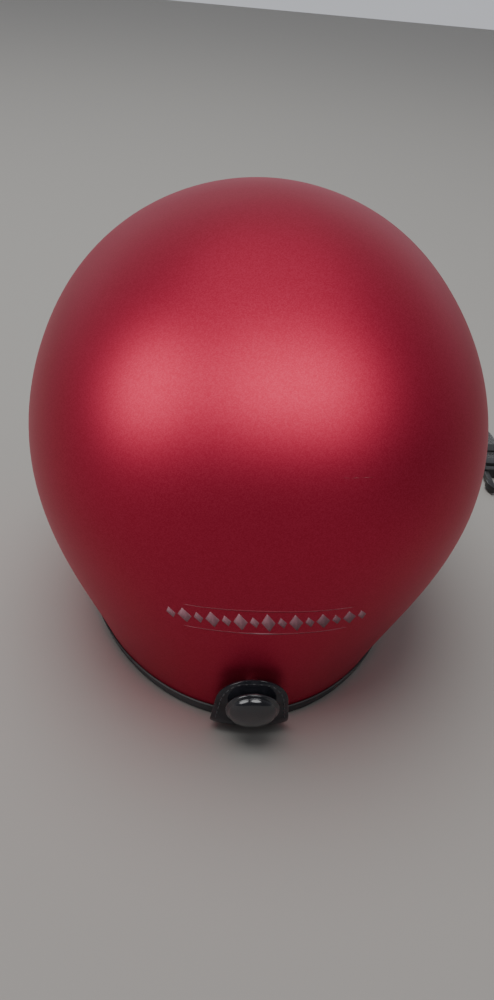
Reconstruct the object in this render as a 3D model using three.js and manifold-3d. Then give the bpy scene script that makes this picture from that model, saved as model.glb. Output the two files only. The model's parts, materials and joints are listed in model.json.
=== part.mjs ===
// Child's open-face helmet with a press-on peak, a rear goggle-strap keeper and a side-release chin strap.
// Millimetres, +Z up. The face opening looks towards -Y, so the wearer's right side is -X.
import * as THREE from "three";
import { mergeVertices } from "three/addons/utils/BufferGeometryUtils.js";
import Module from "manifold-3d";

const wasm = await Module();
wasm.setup();

// ---- Driving dimensions -------------------------------------------------------------------------

const SHELL = {
  halfWidth: 113, // at the widest level
  front: 128, // from the helmet's axis, at the widest level
  rear: 119.5,
  crown: 219, // height of the top
  widest: 106.5, // height of the widest level
  rearPower: 2.45, // fullness of the back half's plan
  rimHalfWidth: 85.5,
  rimFront: 114,
  rimRear: 112.5,
  rimPower: 1.93,
  wall: 3.2,
};
const RIM_HEIGHT = 2.2; // the shell's lower edge; the rubber trim reaches down to 0
const BELOW = -24; // cutting solids start this far under the rim

const OPENING = {
  radius: 105, // millimetres of outline per radian of azimuth
  brow: 140, // height of the forehead edge
  earHalf: 122, // half width of the opening at ear level, along the outline
  cornerHalf: 131, // where its edge runs into the neck rim
};

const LINER_GAP = 0.6; // between the shell and the foam
const FOAM_DEPTH = 24; // depth of the foam's inner face under the shell's skin
const EAR_FOAM_DEPTH = 17;
const PAD_GAP = 0.9; // between the foam and a comfort pad

const STUD_AZIMUTHS = { left: 30, centre: 0, right: -30 };
const STUD_HEIGHT = 156;
const PEAK = { halfAngle: 54, top: 166, foot: 149, reach: 58, drop: 16, standOff: 2.4, thick: 2.4 };

const KEEPER = { width: 35, tipWidth: 28, thick: 2.2, studHeight: 25, rivetHeight: 10.8 };
const ANCHOR = { azimuth: 84, height: 46 };
const STRAP = { width: 19, thick: 1.6 };

const degrees = THREE.MathUtils.degToRad;
const vec = (x, y, z) => new THREE.Vector3(x, y, z);

// ---- Materials ----------------------------------------------------------------------------------

const finish = (color, roughness, metalness = 0) =>
  new THREE.MeshStandardMaterial({ color, roughness, metalness });
const paint = finish(0x8c1526, 0.38, 0.5);
const rubber = finish(0x16161a, 0.7);
const foamBead = finish(0x2b2b2e, 0.9);
const fabric = finish(0x222226, 0.95);
const leatherette = finish(0x131316, 0.45);
const patent = finish(0x0b0b0e, 0.08);
const plastic = finish(0x121214, 0.35);
const webbing = finish(0x17171b, 0.85);
const steel = finish(0x8f9296, 0.3, 1);

// ---- Solids from three.js geometry ----------------------------------------------------------------

// Moves every vertex of a closed geometry with place(vertex), keeping its faces pointing outwards.
function shaped(geometry, place) {
  const position = geometry.attributes.position;
  const point = new THREE.Vector3();
  for (let i = 0; i < position.count; i++) {
    point.fromBufferAttribute(position, i);
    position.setXYZ(i, ...place(point).toArray());
  }
  return geometry;
}

// A closed geometry as a manifold solid, turned outwards if its mapping has mirrored it.
function solid(geometry) {
  const bare = geometry.clone();
  bare.deleteAttribute("normal");
  bare.deleteAttribute("uv");
  const merged = mergeVertices(bare, 1e-3);
  const vertProperties = new Float32Array(merged.attributes.position.array);
  const triVerts = new Uint32Array(merged.index.array);
  const a = vec(), b = vec(), c = vec();
  let volume = 0;
  for (let i = 0; i < triVerts.length; i += 3) {
    a.fromArray(vertProperties, triVerts[i] * 3);
    b.fromArray(vertProperties, triVerts[i + 1] * 3);
    c.fromArray(vertProperties, triVerts[i + 2] * 3);
    volume += a.dot(b.cross(c));
  }
  if (volume < 0)
    for (let i = 0; i < triVerts.length; i += 3)
      [triVerts[i + 1], triVerts[i + 2]] = [triVerts[i + 2], triVerts[i + 1]];
  return new wasm.Manifold(new wasm.Mesh({ numProp: 3, vertProperties, triVerts }));
}

function geometryOf(manifold) {
  const mesh = manifold.getMesh();
  const geometry = new THREE.BufferGeometry();
  geometry.setAttribute("position", new THREE.BufferAttribute(mesh.vertProperties, 3));
  geometry.setIndex(new THREE.BufferAttribute(mesh.triVerts, 1));
  geometry.computeVertexNormals();
  return geometry;
}

const block = (x0, x1, y0, y1, z0, z1) =>
  new THREE.BoxGeometry(x1 - x0, y1 - y0, z1 - z0).translate((x0 + x1) / 2, (y0 + y1) / 2, (z0 + z1) / 2);

const helmet = new THREE.Group();

// Adds a named mesh; the shape is a manifold solid or a three.js geometry.
function add(name, shape, material, parent = helmet) {
  const geometry = shape.isBufferGeometry ? geometryOf(solid(shape)) : geometryOf(shape);
  const mesh = new THREE.Mesh(geometry, material);
  mesh.name = name;
  parent.add(mesh);
  return mesh;
}

// ---- The helmet's skin ----------------------------------------------------------------------------

// Azimuth is 0 at the front and positive towards the wearer's left, in radians.
function planRadius(azimuth, halfWidth, front, rear, rearPower) {
  const back = (1 - Math.cos(azimuth)) / 2;
  const blend = back * back * (3 - 2 * back);
  const length = front + (rear - front) * blend;
  const power = 2 + (rearPower - 2) * blend;
  const across = Math.abs(Math.sin(azimuth) / halfWidth) ** power;
  const along = Math.abs(Math.cos(azimuth) / length) ** power;
  return (across + along) ** (-1 / power);
}

// Level is -1 at the rim, 0 at the widest height and 1 at the crown.
function skinPoint(azimuth, level) {
  const s = SHELL;
  let radius = planRadius(azimuth, s.halfWidth, s.front, s.rear, s.rearPower);
  let height = s.widest;
  if (level >= 0) {
    height += (s.crown - s.widest) * Math.sin((level * Math.PI) / 2);
    radius *= Math.cos((level * Math.PI) / 2);
  } else {
    const rim = planRadius(azimuth, s.rimHalfWidth, s.rimFront, s.rimRear, s.rimPower);
    const tuck = level * level * (2 + level);
    height += s.widest * level;
    radius = Math.sqrt(radius * radius * (1 - tuck) + rim * rim * tuck);
  }
  return vec(radius * Math.sin(azimuth), -radius * Math.cos(azimuth), height);
}

function skinNormal(azimuth, level) {
  if (level > 0.999) return vec(0, 0, 1);
  const step = 1e-3;
  const across = skinPoint(azimuth + step, level).sub(skinPoint(azimuth - step, level));
  const up = skinPoint(azimuth, level + step).sub(skinPoint(azimuth, level - step));
  return across.cross(up).normalize();
}

const levelOf = (height) =>
  height >= SHELL.widest
    ? Math.asin(Math.min(1, (height - SHELL.widest) / (SHELL.crown - SHELL.widest))) / (Math.PI / 2)
    : height / SHELL.widest - 1;

// The point at a depth under the skin, or in front of it for a negative depth.
function under(azimuth, height, depth) {
  const level = levelOf(height);
  return skinPoint(azimuth, level).addScaledVector(skinNormal(azimuth, level), -depth);
}

// A closed egg at a depth under the skin, carried on below the rim.
const AROUND = 40;
const RINGS = 18;
function egg(depthAt) {
  const lowestLevel = -1.18;
  const lastRing = Math.PI / 2 - Math.PI / RINGS;
  return shaped(new THREE.SphereGeometry(1, AROUND, RINGS), (p) => {
    const azimuth = Math.atan2(p.x, p.z);
    const rise = Math.asin(THREE.MathUtils.clamp(p.y, -1, 1));
    if (rise < -lastRing - 1e-3) return vec(0, 0, SHELL.widest * (1 + lowestLevel));
    const level = rise >= 0 ? rise / (Math.PI / 2) : (rise / lastRing) * -lowestLevel;
    const at = skinPoint(azimuth, level);
    return at.addScaledVector(skinNormal(azimuth, level), -depthAt(azimuth, at.z));
  });
}

// The point at a true height on the surface that lies at a depth under the skin.
function inside(azimuth, height, depth) {
  let foot = height;
  for (let i = 0; i < 12; i++) foot += height - under(azimuth, foot, depth).z;
  return under(azimuth, foot, depth);
}

// A block between two azimuths, heights and depths. Its inner face is lower along its edges by crown.
function pad(from, to, low, high, outer, thick, crown, cells = [10, 6]) {
  return shaped(new THREE.BoxGeometry(1, 1, 1, cells[0], cells[1], 1), (p) => {
    const azimuth = degrees(THREE.MathUtils.lerp(from, to, p.x + 0.5));
    const height = THREE.MathUtils.lerp(low, high, p.y + 0.5);
    const middle = (1 - (2 * p.x) ** 4) * (1 - (2 * p.y) ** 4);
    const back = outer(azimuth, height);
    return inside(azimuth, height, p.z > 0 ? back : back + thick - crown * (1 - middle));
  });
}

// A block of azimuth, height and distance from the axis, used for cutting.
const sector = (from, to, low, high, near, far) =>
  shaped(new THREE.BoxGeometry(1, 1, 1, 12, 1, 1), (p) => {
    const azimuth = degrees(THREE.MathUtils.lerp(from, to, p.x + 0.5));
    const radius = THREE.MathUtils.lerp(near, far, p.z + 0.5);
    const height = THREE.MathUtils.lerp(low, high, p.y + 0.5);
    return vec(radius * Math.sin(azimuth), -radius * Math.cos(azimuth), height);
  });

// Stands a part made along +Z on the skin, with its foot at a depth.
function onSkin(geometry, azimuthDegrees, height, depth = 0) {
  const azimuth = degrees(azimuthDegrees);
  const out = skinNormal(azimuth, levelOf(height));
  const turn = new THREE.Quaternion().setFromUnitVectors(vec(0, 0, 1), out);
  const foot = under(azimuth, height, depth);
  return geometry.applyQuaternion(turn).translate(foot.x, foot.y, foot.z);
}

// ---- Edge of the face opening -----------------------------------------------------------------------

// The whole edge, unrolled: over the brow from one lower corner to the other, then round the neck.
const edgePath = new THREE.Path();
edgePath.moveTo(-OPENING.cornerHalf, RIM_HEIGHT);
edgePath.bezierCurveTo(-OPENING.earHalf + 6, RIM_HEIGHT, -OPENING.earHalf + 7, 10, -OPENING.earHalf + 5, 26);
edgePath.bezierCurveTo(-OPENING.earHalf, 62, -OPENING.earHalf - 4, OPENING.brow, -52, OPENING.brow);
edgePath.lineTo(52, OPENING.brow);
edgePath.bezierCurveTo(OPENING.earHalf + 4, OPENING.brow, OPENING.earHalf, 62, OPENING.earHalf - 5, 26);
edgePath.bezierCurveTo(OPENING.earHalf - 7, 10, OPENING.earHalf - 6, RIM_HEIGHT, OPENING.cornerHalf, RIM_HEIGHT);
const archPoints = edgePath.getSpacedPoints(56);
const archLengthMm = edgePath.getLength();
edgePath.lineTo(2 * Math.PI * OPENING.radius - OPENING.cornerHalf, RIM_HEIGHT);
const archLength = () => archLengthMm / edgePath.getLength(); // the arch's share of the whole edge

// The solid that cuts the face opening, grown outwards by a margin.
function openingCutter(margin) {
  const outline = archPoints.map((p, i) => {
    const before = archPoints[Math.max(0, i - 1)];
    const after = archPoints[Math.min(archPoints.length - 1, i + 1)];
    const along = after.clone().sub(before).normalize();
    return new THREE.Vector2(p.x - along.y * margin, p.y + along.x * margin);
  });
  const last = outline[outline.length - 1];
  outline.push(new THREE.Vector2(last.x, BELOW), new THREE.Vector2(-last.x, BELOW));
  const near = 48, far = 168; // from inside the foam to outside the shell
  const sweep = { depth: 1, steps: 8, bevelEnabled: false };
  return shaped(new THREE.ExtrudeGeometry(new THREE.Shape(outline), sweep), (p) => {
    const azimuth = p.x / OPENING.radius;
    const radius = near + p.z * (far - near);
    return vec(radius * Math.sin(azimuth), -radius * Math.cos(azimuth), p.y);
  });
}

const cutBelow = (height) => solid(block(-400, 400, -400, 400, -200, height));

// The largest body of a cut solid, without the crumbs a cut can leave.
const whole = (manifold) => manifold.decompose().sort((a, b) => b.volume() - a.volume())[0];

// A strip along part of the edge, between two distances into the shell and two depths.
function alongEdge(from, to, margins, depths, cells) {
  const total = archLength();
  return shaped(new THREE.BoxGeometry(1, 1, 1, cells, 1, 1), (p) => {
    const share = THREE.MathUtils.lerp(from, to, p.x + 0.5) * total;
    const at = edgePath.getPointAt(share);
    const along = edgePath.getTangentAt(share);
    const margin = THREE.MathUtils.lerp(margins[0], margins[1], p.y + 0.5);
    const azimuth = (at.x - along.y * margin) / OPENING.radius;
    const height = at.y + along.x * margin;
    const skin = skinPoint(azimuth, levelOf(height));
    const radius = Math.hypot(skin.x, skin.y) - THREE.MathUtils.lerp(depths[1], depths[0], p.z + 0.5);
    return vec(radius * Math.sin(azimuth), -radius * Math.cos(azimuth), height);
  });
}

// ---- Shell, rubber edge trim and foam ---------------------------------------------------------------

const rivetHole = (azimuth, height, radius) =>
  solid(onSkin(new THREE.CylinderGeometry(radius, radius, 14, 16).rotateX(Math.PI / 2), azimuth, height));

function outerShell() {
  let shell = solid(egg(() => 0)).subtract(solid(egg(() => SHELL.wall)));
  shell = shell.subtract(solid(openingCutter(0))).subtract(cutBelow(RIM_HEIGHT));
  for (const azimuth of Object.values(STUD_AZIMUTHS))
    shell = shell.subtract(rivetHole(azimuth, STUD_HEIGHT, 2.6));
  for (const side of [-1, 1]) shell = shell.subtract(rivetHole(side * ANCHOR.azimuth, ANCHOR.height, 3));
  shell = shell.subtract(rivetHole(180, KEEPER.studHeight, 2.6));
  return whole(shell.subtract(rivetHole(180, KEEPER.rivetHeight, 2.6)));
}
add("outer_shell", outerShell(), paint);

// A U-shaped channel, swept round the whole edge, with its flat foot on the ground.
function edgeTrim() {
  const steps = 96;
  const slot = SHELL.wall / 2 + 0.9, lip = 1.1;
  const outline = [
    [slot, -3.8], [slot + lip, -3.8], [slot + lip, 2.2], [slot - 0.3, 3.4],
    [-slot + 0.3, 3.4], [-slot - lip, 2.2], [-slot - lip, -4.6], [-slot, -4.6], [-slot, 1.5], [slot, 1.5],
  ].map(([out, beyond]) => new THREE.Vector2(20 + out, beyond));
  outline.push(outline[0].clone());
  const edge = edgePath.getSpacedPoints(steps);
  const pointAt = (i) => {
    const p = edge[(i + steps) % steps];
    return under(p.x / OPENING.radius, p.y, SHELL.wall / 2);
  };
  const channel = shaped(new THREE.LatheGeometry(outline, steps), (p) => {
    const i = Math.round(((Math.atan2(p.x, p.z) / (2 * Math.PI)) * steps + steps) % steps) % steps;
    const out = skinNormal(edge[i].x / OPENING.radius, levelOf(edge[i].y));
    const along = pointAt(i + 1).sub(pointAt(i - 1)).normalize();
    const beyond = along.clone().cross(out).normalize();
    return pointAt(i).addScaledVector(out, Math.hypot(p.x, p.z) - 20).addScaledVector(beyond, p.y);
  });
  return solid(channel).subtract(cutBelow(0));
}
add("edge_trim", edgeTrim(), rubber);

// How deep the foam's inner face lies: thinner at the ears than over the crown.
function foamDepth(azimuth, height) {
  const side = Math.abs(Math.sin(azimuth)) ** 2;
  const low = THREE.MathUtils.smoothstep(120 - height, 0, 50);
  return FOAM_DEPTH - (FOAM_DEPTH - EAR_FOAM_DEPTH) * side * low;
}

function foamLiner() {
  let foam = solid(egg(() => SHELL.wall + LINER_GAP)).subtract(solid(egg(foamDepth)));
  foam = foam.subtract(solid(openingCutter(9))).subtract(cutBelow(36));
  for (const side of [-1, 1]) // the ear pads and strap anchors take the foam's place down here
    foam = foam.subtract(solid(sector(side * 40, side * 122, BELOW, 64, 30, 300)));
  for (const azimuth of Object.values(STUD_AZIMUTHS))
    foam = foam.subtract(rivetHole(azimuth, STUD_HEIGHT, 7.5));
  return whole(foam);
}
add("foam_liner", foamLiner(), foamBead);

// ---- Comfort pads ------------------------------------------------------------------------------------

const onFoam = (azimuth, height) => foamDepth(azimuth, height) + PAD_GAP;

function crownPad() {
  const dome = solid(egg(() => FOAM_DEPTH + PAD_GAP)).subtract(solid(egg(() => FOAM_DEPTH + 8)));
  return whole(dome.subtract(cutBelow(172)));
}
add("crown_pad", crownPad(), fabric);
add("brow_pad", pad(-52, 52, 150, 169, onFoam, 9, 4, [14, 4]), fabric);
add("rear_pad", pad(130, 230, 84, 152, onFoam, 9, 4, [12, 6]), fabric);
add("neck_roll", pad(122, 238, 38, 80, onFoam, 12, 6, [14, 4]), leatherette);
const SIDES = { left: 1, right: -1 };
for (const [side, sign] of Object.entries(SIDES)) {
  add(`temple_pad_${side}`, pad(sign * 76, sign * 126, 104, 152, onFoam, 9, 3, [8, 5]), fabric);
  const behindEar = (azimuth, height) => {
    const onto = THREE.MathUtils.smoothstep(height, 38, 57);
    return THREE.MathUtils.lerp(10.5, foamDepth(azimuth, height) + PAD_GAP, onto);
  };
  add(`ear_pad_${side}`, pad(sign * 76, sign * 118, 17, 99, behindEar, 16, 7, [8, 8]), fabric);
}

// A band of leatherette along the brow that closes the joint between the shell and the foam.
add("brow_binding", alongEdge(0.29, 0.71, [5.4, 7.4], [SHELL.wall + 2, 30], 30), leatherette);

// ---- Snap studs and the peak ---------------------------------------------------------------------------

const lathe = (profile, segments = 20) =>
  new THREE.LatheGeometry(profile.map(([r, h]) => new THREE.Vector2(r, h)), segments).rotateX(Math.PI / 2);

// A stud stands 4.4 mm proud, and its post ends inside the shell in a pressed cap.
const studProfile = [
  [0, -SHELL.wall], [2.2, -SHELL.wall], [2.2, 0.3], [4.8, 0.3], [4.8, 1.1], [2.5, 1.6], [2.5, 2.6], [3.3, 3.2],
  [2.8, 4.2], [0, 4.4],
];
const studBackProfile = [
  [0, -SHELL.wall - 2.9], [4.4, -SHELL.wall - 2.7], [5.6, -SHELL.wall - 1.9], [5.6, -SHELL.wall - 1.1], [0, -SHELL.wall - 1.1],
];
for (const [place, azimuth] of Object.entries(STUD_AZIMUTHS)) {
  add(`peak_stud_${place}`, onSkin(lathe(studProfile, 16), azimuth, STUD_HEIGHT), steel);
  add(`peak_stud_back_${place}`, onSkin(lathe(studBackProfile, 12), azimuth, STUD_HEIGHT), steel);
}

// Across runs -1 to 1 over the peak's width, along 0 to 1 from its top edge to its brim.
function peakPoint(across, along) {
  const azimuth = degrees(PEAK.halfAngle) * across;
  const flange = 0.3; // the share of the length that lies on the shell
  const corner = 1 - Math.abs(across) ** 2.6;
  const top = THREE.MathUtils.lerp(PEAK.foot, PEAK.top, 0.25 + 0.75 * corner);
  if (along <= flange)
    return under(azimuth, THREE.MathUtils.lerp(top, PEAK.foot, along / flange), -PEAK.standOff);
  const foot = under(azimuth, PEAK.foot, -PEAK.standOff);
  const down = under(azimuth, PEAK.foot - 4, -PEAK.standOff).sub(foot).normalize();
  const ahead = vec(Math.sin(azimuth) * 0.45, -1, 0).normalize();
  const reach = 4 + (PEAK.reach - 4) * corner;
  const brim = foot.clone().addScaledVector(ahead, reach).add(vec(0, 0, -PEAK.drop + 5 * corner));
  const bend = foot.clone().addScaledVector(down, 4 + 6 * corner);
  const lead = brim.clone().addScaledVector(ahead, -0.5 * reach).add(vec(0, 0, 2.5 * corner));
  const t = (along - flange) / (1 - flange);
  return new THREE.CubicBezierCurve3(foot, bend, lead, brim).getPoint(t);
}

function peakShell() {
  const slab = shaped(new THREE.BoxGeometry(1, 1, 1, 18, 9, 1), (p) => {
    const across = 2 * p.x, along = p.y + 0.5, step = 1e-3;
    const sideways = peakPoint(across + step, along).sub(peakPoint(across - step, along));
    const lengthways = peakPoint(across, Math.min(1, along + step)).sub(peakPoint(across, Math.max(0, along - step)));
    const out = sideways.cross(lengthways).normalize().negate();
    return peakPoint(across, along).addScaledVector(out, (p.z + 0.5) * PEAK.thick);
  });
  let peak = solid(slab);
  for (const azimuth of Object.values(STUD_AZIMUTHS))
    peak = peak.subtract(rivetHole(azimuth, STUD_HEIGHT, 5.6));
  return peak;
}
add("peak", peakShell(), plastic);

// A domed snap cap: its dome lies on the peak and its socket reaches down round the stud's head.
const capProfile = [
  [0, 5.3], [4.5, 5.3], [4.5, 3], [5.2, 3], [5.2, 5.2], [8, 5.2], [8, 5.8], [6.6, 7.2], [3.6, 8], [0, 8.2],
].reverse();
for (const [place, azimuth] of Object.entries(STUD_AZIMUTHS))
  add(`peak_snap_${place}`, onSkin(lathe(capProfile, 20), azimuth, STUD_HEIGHT), plastic);

// ---- Rear goggle-strap keeper ----------------------------------------------------------------------------

// The tab's middle layer in the plane of symmetry: distance out from the skin, and height.
const keeperLine = new THREE.CatmullRomCurve3(
  [[6.2, 3.8], [8.4, 6], [9, 10], [8.8, 15], [8.4, 21], [7.9, 27], [6.9, 33], [5.4, 39]].map(
    ([out, height]) => vec(0, out, height),
  ),
);

// Across runs -1 to 1, along 0 to 1 from the fold to the tip; lift is the distance off the middle layer.
function keeperPoint(across, along, lift) {
  const line = keeperLine.getPointAt(along);
  const slope = keeperLine.getTangentAt(along);
  const tip = Math.max(0, (along - 0.74) / 0.26) ** 2.4;
  const half = (THREE.MathUtils.lerp(KEEPER.width, KEEPER.tipWidth, along) / 2) * Math.sqrt(1 - 0.96 * tip);
  const azimuth = Math.PI - (across * half) / SHELL.rimRear;
  const out = line.y + lift * slope.z - 0.4 * across * across; // its sides lie a little closer
  return inside(azimuth, line.z - lift * slope.y, -out);
}

function keeperTab() {
  const tube = new THREE.CylinderGeometry(6.3, 6.3, 30, 16).rotateX(Math.PI / 2);
  const capHole = solid(onSkin(tube, 180, KEEPER.studHeight));
  const leaf = shaped(new THREE.BoxGeometry(1, 1, 1, 6, 14, 1), (p) =>
    keeperPoint(2 * p.x, p.y + 0.5, p.z * KEEPER.thick),
  );
  return solid(leaf).subtract(capHole);
}
add("keeper_tab", keeperTab(), patent);

// The domed cap lies on the tab, and its socket reaches down round the stud's head.
const keeperCapProfile = [
  [0, 6.6], [4.8, 6.6], [4.8, 3.6], [5.8, 3.6], [5.8, 10.6], [12, 11], [12.6, 11.8], [11, 14.4], [7.4, 16.4], [0, 17.2],
].reverse();
add("keeper_cap", onSkin(lathe(keeperCapProfile, 24), 180, KEEPER.studHeight), patent);

const tallStud = studProfile.map(([r, h]) => [r, h > 1.5 ? h + 0.9 : h]);
add("keeper_stud", onSkin(lathe(tallStud, 16), 180, KEEPER.studHeight), steel);
add("keeper_stud_back", onSkin(lathe(studBackProfile, 12), 180, KEEPER.studHeight), steel);

// The tab's foot: a strip riveted flat on the shell, thicker along the fold.
function keeperFoot() {
  const half = (KEEPER.width - 5) / 2;
  const strip = shaped(new THREE.BoxGeometry(1, 1, 1, 6, 3, 1), (p) => {
    const azimuth = Math.PI - (2 * p.x * half) / SHELL.rimRear;
    const height = THREE.MathUtils.lerp(5.6, 14.2, p.y + 0.5);
    const low = p.y < -0.4; // past the trim's lip
    return inside(azimuth, height, (low ? -2.9 : -0.5) - (p.z + 0.5) * 1.7);
  });
  return solid(strip).subtract(rivetHole(180, KEEPER.rivetHeight, 2.6));
}
add("keeper_foot", keeperFoot(), patent);
const keeperRivetProfile = [
  [0, -SHELL.wall - 2.6], [3.4, -SHELL.wall - 2.4], [3.4, -SHELL.wall - 0.8], [2.2, -SHELL.wall - 0.8],
  [2.2, 3.2], [3, 3.2], [2.6, 4.2], [0, 4.5],
];
add("keeper_rivet", onSkin(lathe(keeperRivetProfile, 14), 180, KEEPER.rivetHeight), steel);

// ---- Chin straps -------------------------------------------------------------------------------------------

// A rivet holds each strap's hanger plate to the shell's inside; its domed head shows outside.
const anchorRivetProfile = [
  [0, -SHELL.wall - 4.4], [4.2, -SHELL.wall - 4.2], [4.2, -SHELL.wall - 2.9], [2.6, -SHELL.wall - 2.9], [2.6, 0.3], [7, 0.3], [6.4, 1.5], [4, 2.4], [0, 2.8],
];
const plateCorners = [[-8, -8], [8, -8], [8, 8], [-8, 8]];
for (const [side, sign] of Object.entries(SIDES)) {
  const azimuth = sign * ANCHOR.azimuth;
  add(`anchor_rivet_${side}`, onSkin(lathe(anchorRivetProfile, 18), azimuth, ANCHOR.height), plastic);
  const plate = new THREE.ExtrudeGeometry(new THREE.Shape(plateCorners.map(([x, y]) => new THREE.Vector2(x, y))), {
    depth: 1.4,
    bevelEnabled: false,
  }).translate(0, 0, -SHELL.wall - 2.5);
  const hole = solid(onSkin(new THREE.CylinderGeometry(3, 3, 20, 16).rotateX(Math.PI / 2), azimuth, ANCHOR.height));
  add(`anchor_plate_${side}`, solid(onSkin(plate, azimuth, ANCHOR.height)).subtract(hole), steel);
}

// Each route point gives the middle of the webbing and the direction of its width.
const STRAP_ROUTES = {
  right: [
    { at: [-89.5, -18, 38], wide: [0, -0.6, 0.8] },
    { at: [-80, -35, 25], wide: [0, -0.5, 0.85] },
    { at: [-70, -56, 14], wide: [0, -0.2, 1] },
    { at: [-76, -84, 10.2], wide: [0, 0, 1] },
    { at: [-94, -114, 10.2], wide: [0, 0, 1] },
    { at: [-122, -140, 10.2], wide: [0, 0, 1] },
    { at: [-153, -163, 8.6], wide: [-0.2, -0.6, 0.6] },
    { at: [-178, -167, 4.6], wide: [-0.5, -0.9, 0] },
    { at: [-190, -155, 4.1], wide: [-1, -0.4, 0] },
    { at: [-192, -140, 4.1], wide: [-1, 0, 0] },
    { at: [-192, -124, 4.1], wide: [-1, 0, 0] },
    { at: [-192, -108.6, 4.1], wide: [-1, 0, 0] },
  ],
  left: [
    { at: [89.5, -18, 38], wide: [0, -0.6, 0.8] },
    { at: [80, -35, 25], wide: [0, -0.5, 0.85] },
    { at: [71, -56, 14], wide: [0.3, -0.2, 1] },
    { at: [70, -76, 7.5], wide: [0.9, -0.2, 0.6] },
    { at: [61, -95, 5.4], wide: [1, -0.6, 0] },
    { at: [47, -113, 5.2], wide: [0.8, -0.8, 0] },
    { at: [28, -127, 5.2], wide: [0.5, -1, 0] },
    { at: [5, -134, 4.9], wide: [0.2, -1, 0] },
    { at: [-14, -136, 4.6], wide: [0, -1, 0] },
    { at: [-27.6, -136, 4.6], wide: [0, -1, 0] },
  ],
};

// A band of the given width and thickness that follows part of a strap's route.
function band(route, width, thick, from = 0, to = 1, steps = 40) {
  const line = new THREE.CatmullRomCurve3(route.map((r) => vec(...r.at)));
  const sides = route.map((r) => vec(...r.wide).normalize());
  return shaped(new THREE.BoxGeometry(1, 1, 1, 1, 1, steps), (p) => {
    const share = THREE.MathUtils.lerp(from, to, p.z + 0.5);
    const t = line.getUtoTmapping(share);
    const along = line.getTangent(t);
    const i = Math.min(route.length - 2, Math.floor(t * (route.length - 1)));
    const mix = THREE.MathUtils.smoothstep(t * (route.length - 1) - i, 0, 1);
    const across = sides[i].clone().lerp(sides[i + 1], mix);
    across.addScaledVector(along, -across.dot(along)).normalize();
    const out = along.clone().cross(across);
    return line.getPoint(t).addScaledVector(across, p.x * width).addScaledVector(out, p.y * thick);
  });
}
for (const side of Object.keys(SIDES))
  add(`chin_strap_${side}`, band(STRAP_ROUTES[side], STRAP.width, STRAP.thick), webbing);

// A padded sleeve round the left strap, open along its middle for the webbing.
const chinPad = solid(band(STRAP_ROUTES.left, 30, 9.2, 0.47, 0.84, 12)).subtract(
  solid(band(STRAP_ROUTES.left, STRAP.width + 1.2, STRAP.thick + 1, 0.44, 0.87, 26)),
);
add("chin_pad", chinPad, fabric);

// ---- Side-release buckle -------------------------------------------------------------------------------------

function roundedRectangle(halfX, y0, y1, radius) {
  const shape = new THREE.Shape();
  shape.absarc(halfX - radius, y0 + radius, radius, -Math.PI / 2, 0);
  shape.absarc(halfX - radius, y1 - radius, radius, 0, Math.PI / 2);
  shape.absarc(-halfX + radius, y1 - radius, radius, Math.PI / 2, Math.PI);
  shape.absarc(-halfX + radius, y0 + radius, radius, Math.PI, 1.5 * Math.PI);
  return shape;
}
const slabOf = (shape, low, high) =>
  new THREE.ExtrudeGeometry(shape, { depth: high - low, bevelEnabled: false, curveSegments: 4 }).translate(0, 0, low);

const BUCKLE = { halfWidth: 13.5, plugBase: 15, prongLength: 21, prongX: 11.2, thick: 7.6 };

// Both halves are drawn with the strap entering at y = 0 and the mouth or tips towards +Y.
const plugGroup = new THREE.Group();
plugGroup.position.set(-192, -113.4, 0.3);
helmet.add(plugGroup);
const strapSlot = (y0, y1) => solid(block(-10.2, 10.2, y0, y1, -1, 20));
const plugBody = solid(slabOf(roundedRectangle(BUCKLE.halfWidth, 0, BUCKLE.plugBase, 3), 0, BUCKLE.thick))
  .subtract(solid(block(-10.2, 10.2, -1, 5.6, 2, 5.6)))
  .subtract(strapSlot(7, 11))
  .add(solid(block(-3.6, 3.6, BUCKLE.plugBase - 0.5, BUCKLE.plugBase + 18, 2.4, 5.2)));
add("buckle_plug", plugBody, plastic, plugGroup);

function prong(sign) {
  const y0 = BUCKLE.plugBase + 0.4, y1 = BUCKLE.plugBase + BUCKLE.prongLength;
  const points = [[-1.5, y0], [1.5, y0], [1.5, y1 - 11], [3.4, y1 - 9.5], [3.2, y1 - 5], [0.6, y1], [-1.5, y1 - 0.5]];
  const shape = new THREE.Shape(points.map(([x, y]) => new THREE.Vector2(sign * (BUCKLE.prongX + x), y)));
  return slabOf(shape, 1.3, 6.3);
}
add("buckle_prong_left", prong(1), plastic, plugGroup);
add("buckle_prong_right", prong(-1), plastic, plugGroup);

const socketGroup = new THREE.Group();
socketGroup.position.set(-23.4, -136, 0.3);
socketGroup.rotation.z = Math.PI / 2;
helmet.add(socketGroup);
const socketBody = solid(slabOf(roundedRectangle(15.5, 0, 33, 4), 0, 11))
  .subtract(solid(block(-13, 13, 13, 34, 1.8, 9.2))) // the mouth
  .subtract(solid(block(-16, 16, 16.5, 25, 2.6, 8.4))) // side windows for the prongs' shoulders
  .subtract(solid(block(-10.2, 10.2, -1, 4.6, 2.4, 6.4)))
  .subtract(strapSlot(6, 10));
add("buckle_socket", socketBody, plastic, socketGroup);

// A moulded loop that slides on the right strap and holds its loose end.
const loop = solid(block(-204.2, -179.8, -133, -124.5, 1.2, 7))
  .subtract(solid(block(-202.4, -181.6, -140, -120, 2.7, 5.5)));
add("strap_loop", loop, rubber);

// ---- Origin --------------------------------------------------------------------------------------------------

// The origin lies on the ground, midway between the peak's brim and the keeper; the straps don't count.
const lyingFree = /^(chin_|buckle_|strap_loop)/;
const extent = new THREE.Box3();
helmet.updateMatrixWorld(true);
helmet.traverse((part) => {
  if (part.isMesh && !lyingFree.test(part.name)) extent.expandByObject(part);
});
helmet.position.y = -(extent.min.y + extent.max.y) / 2;

export default helmet;
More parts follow.
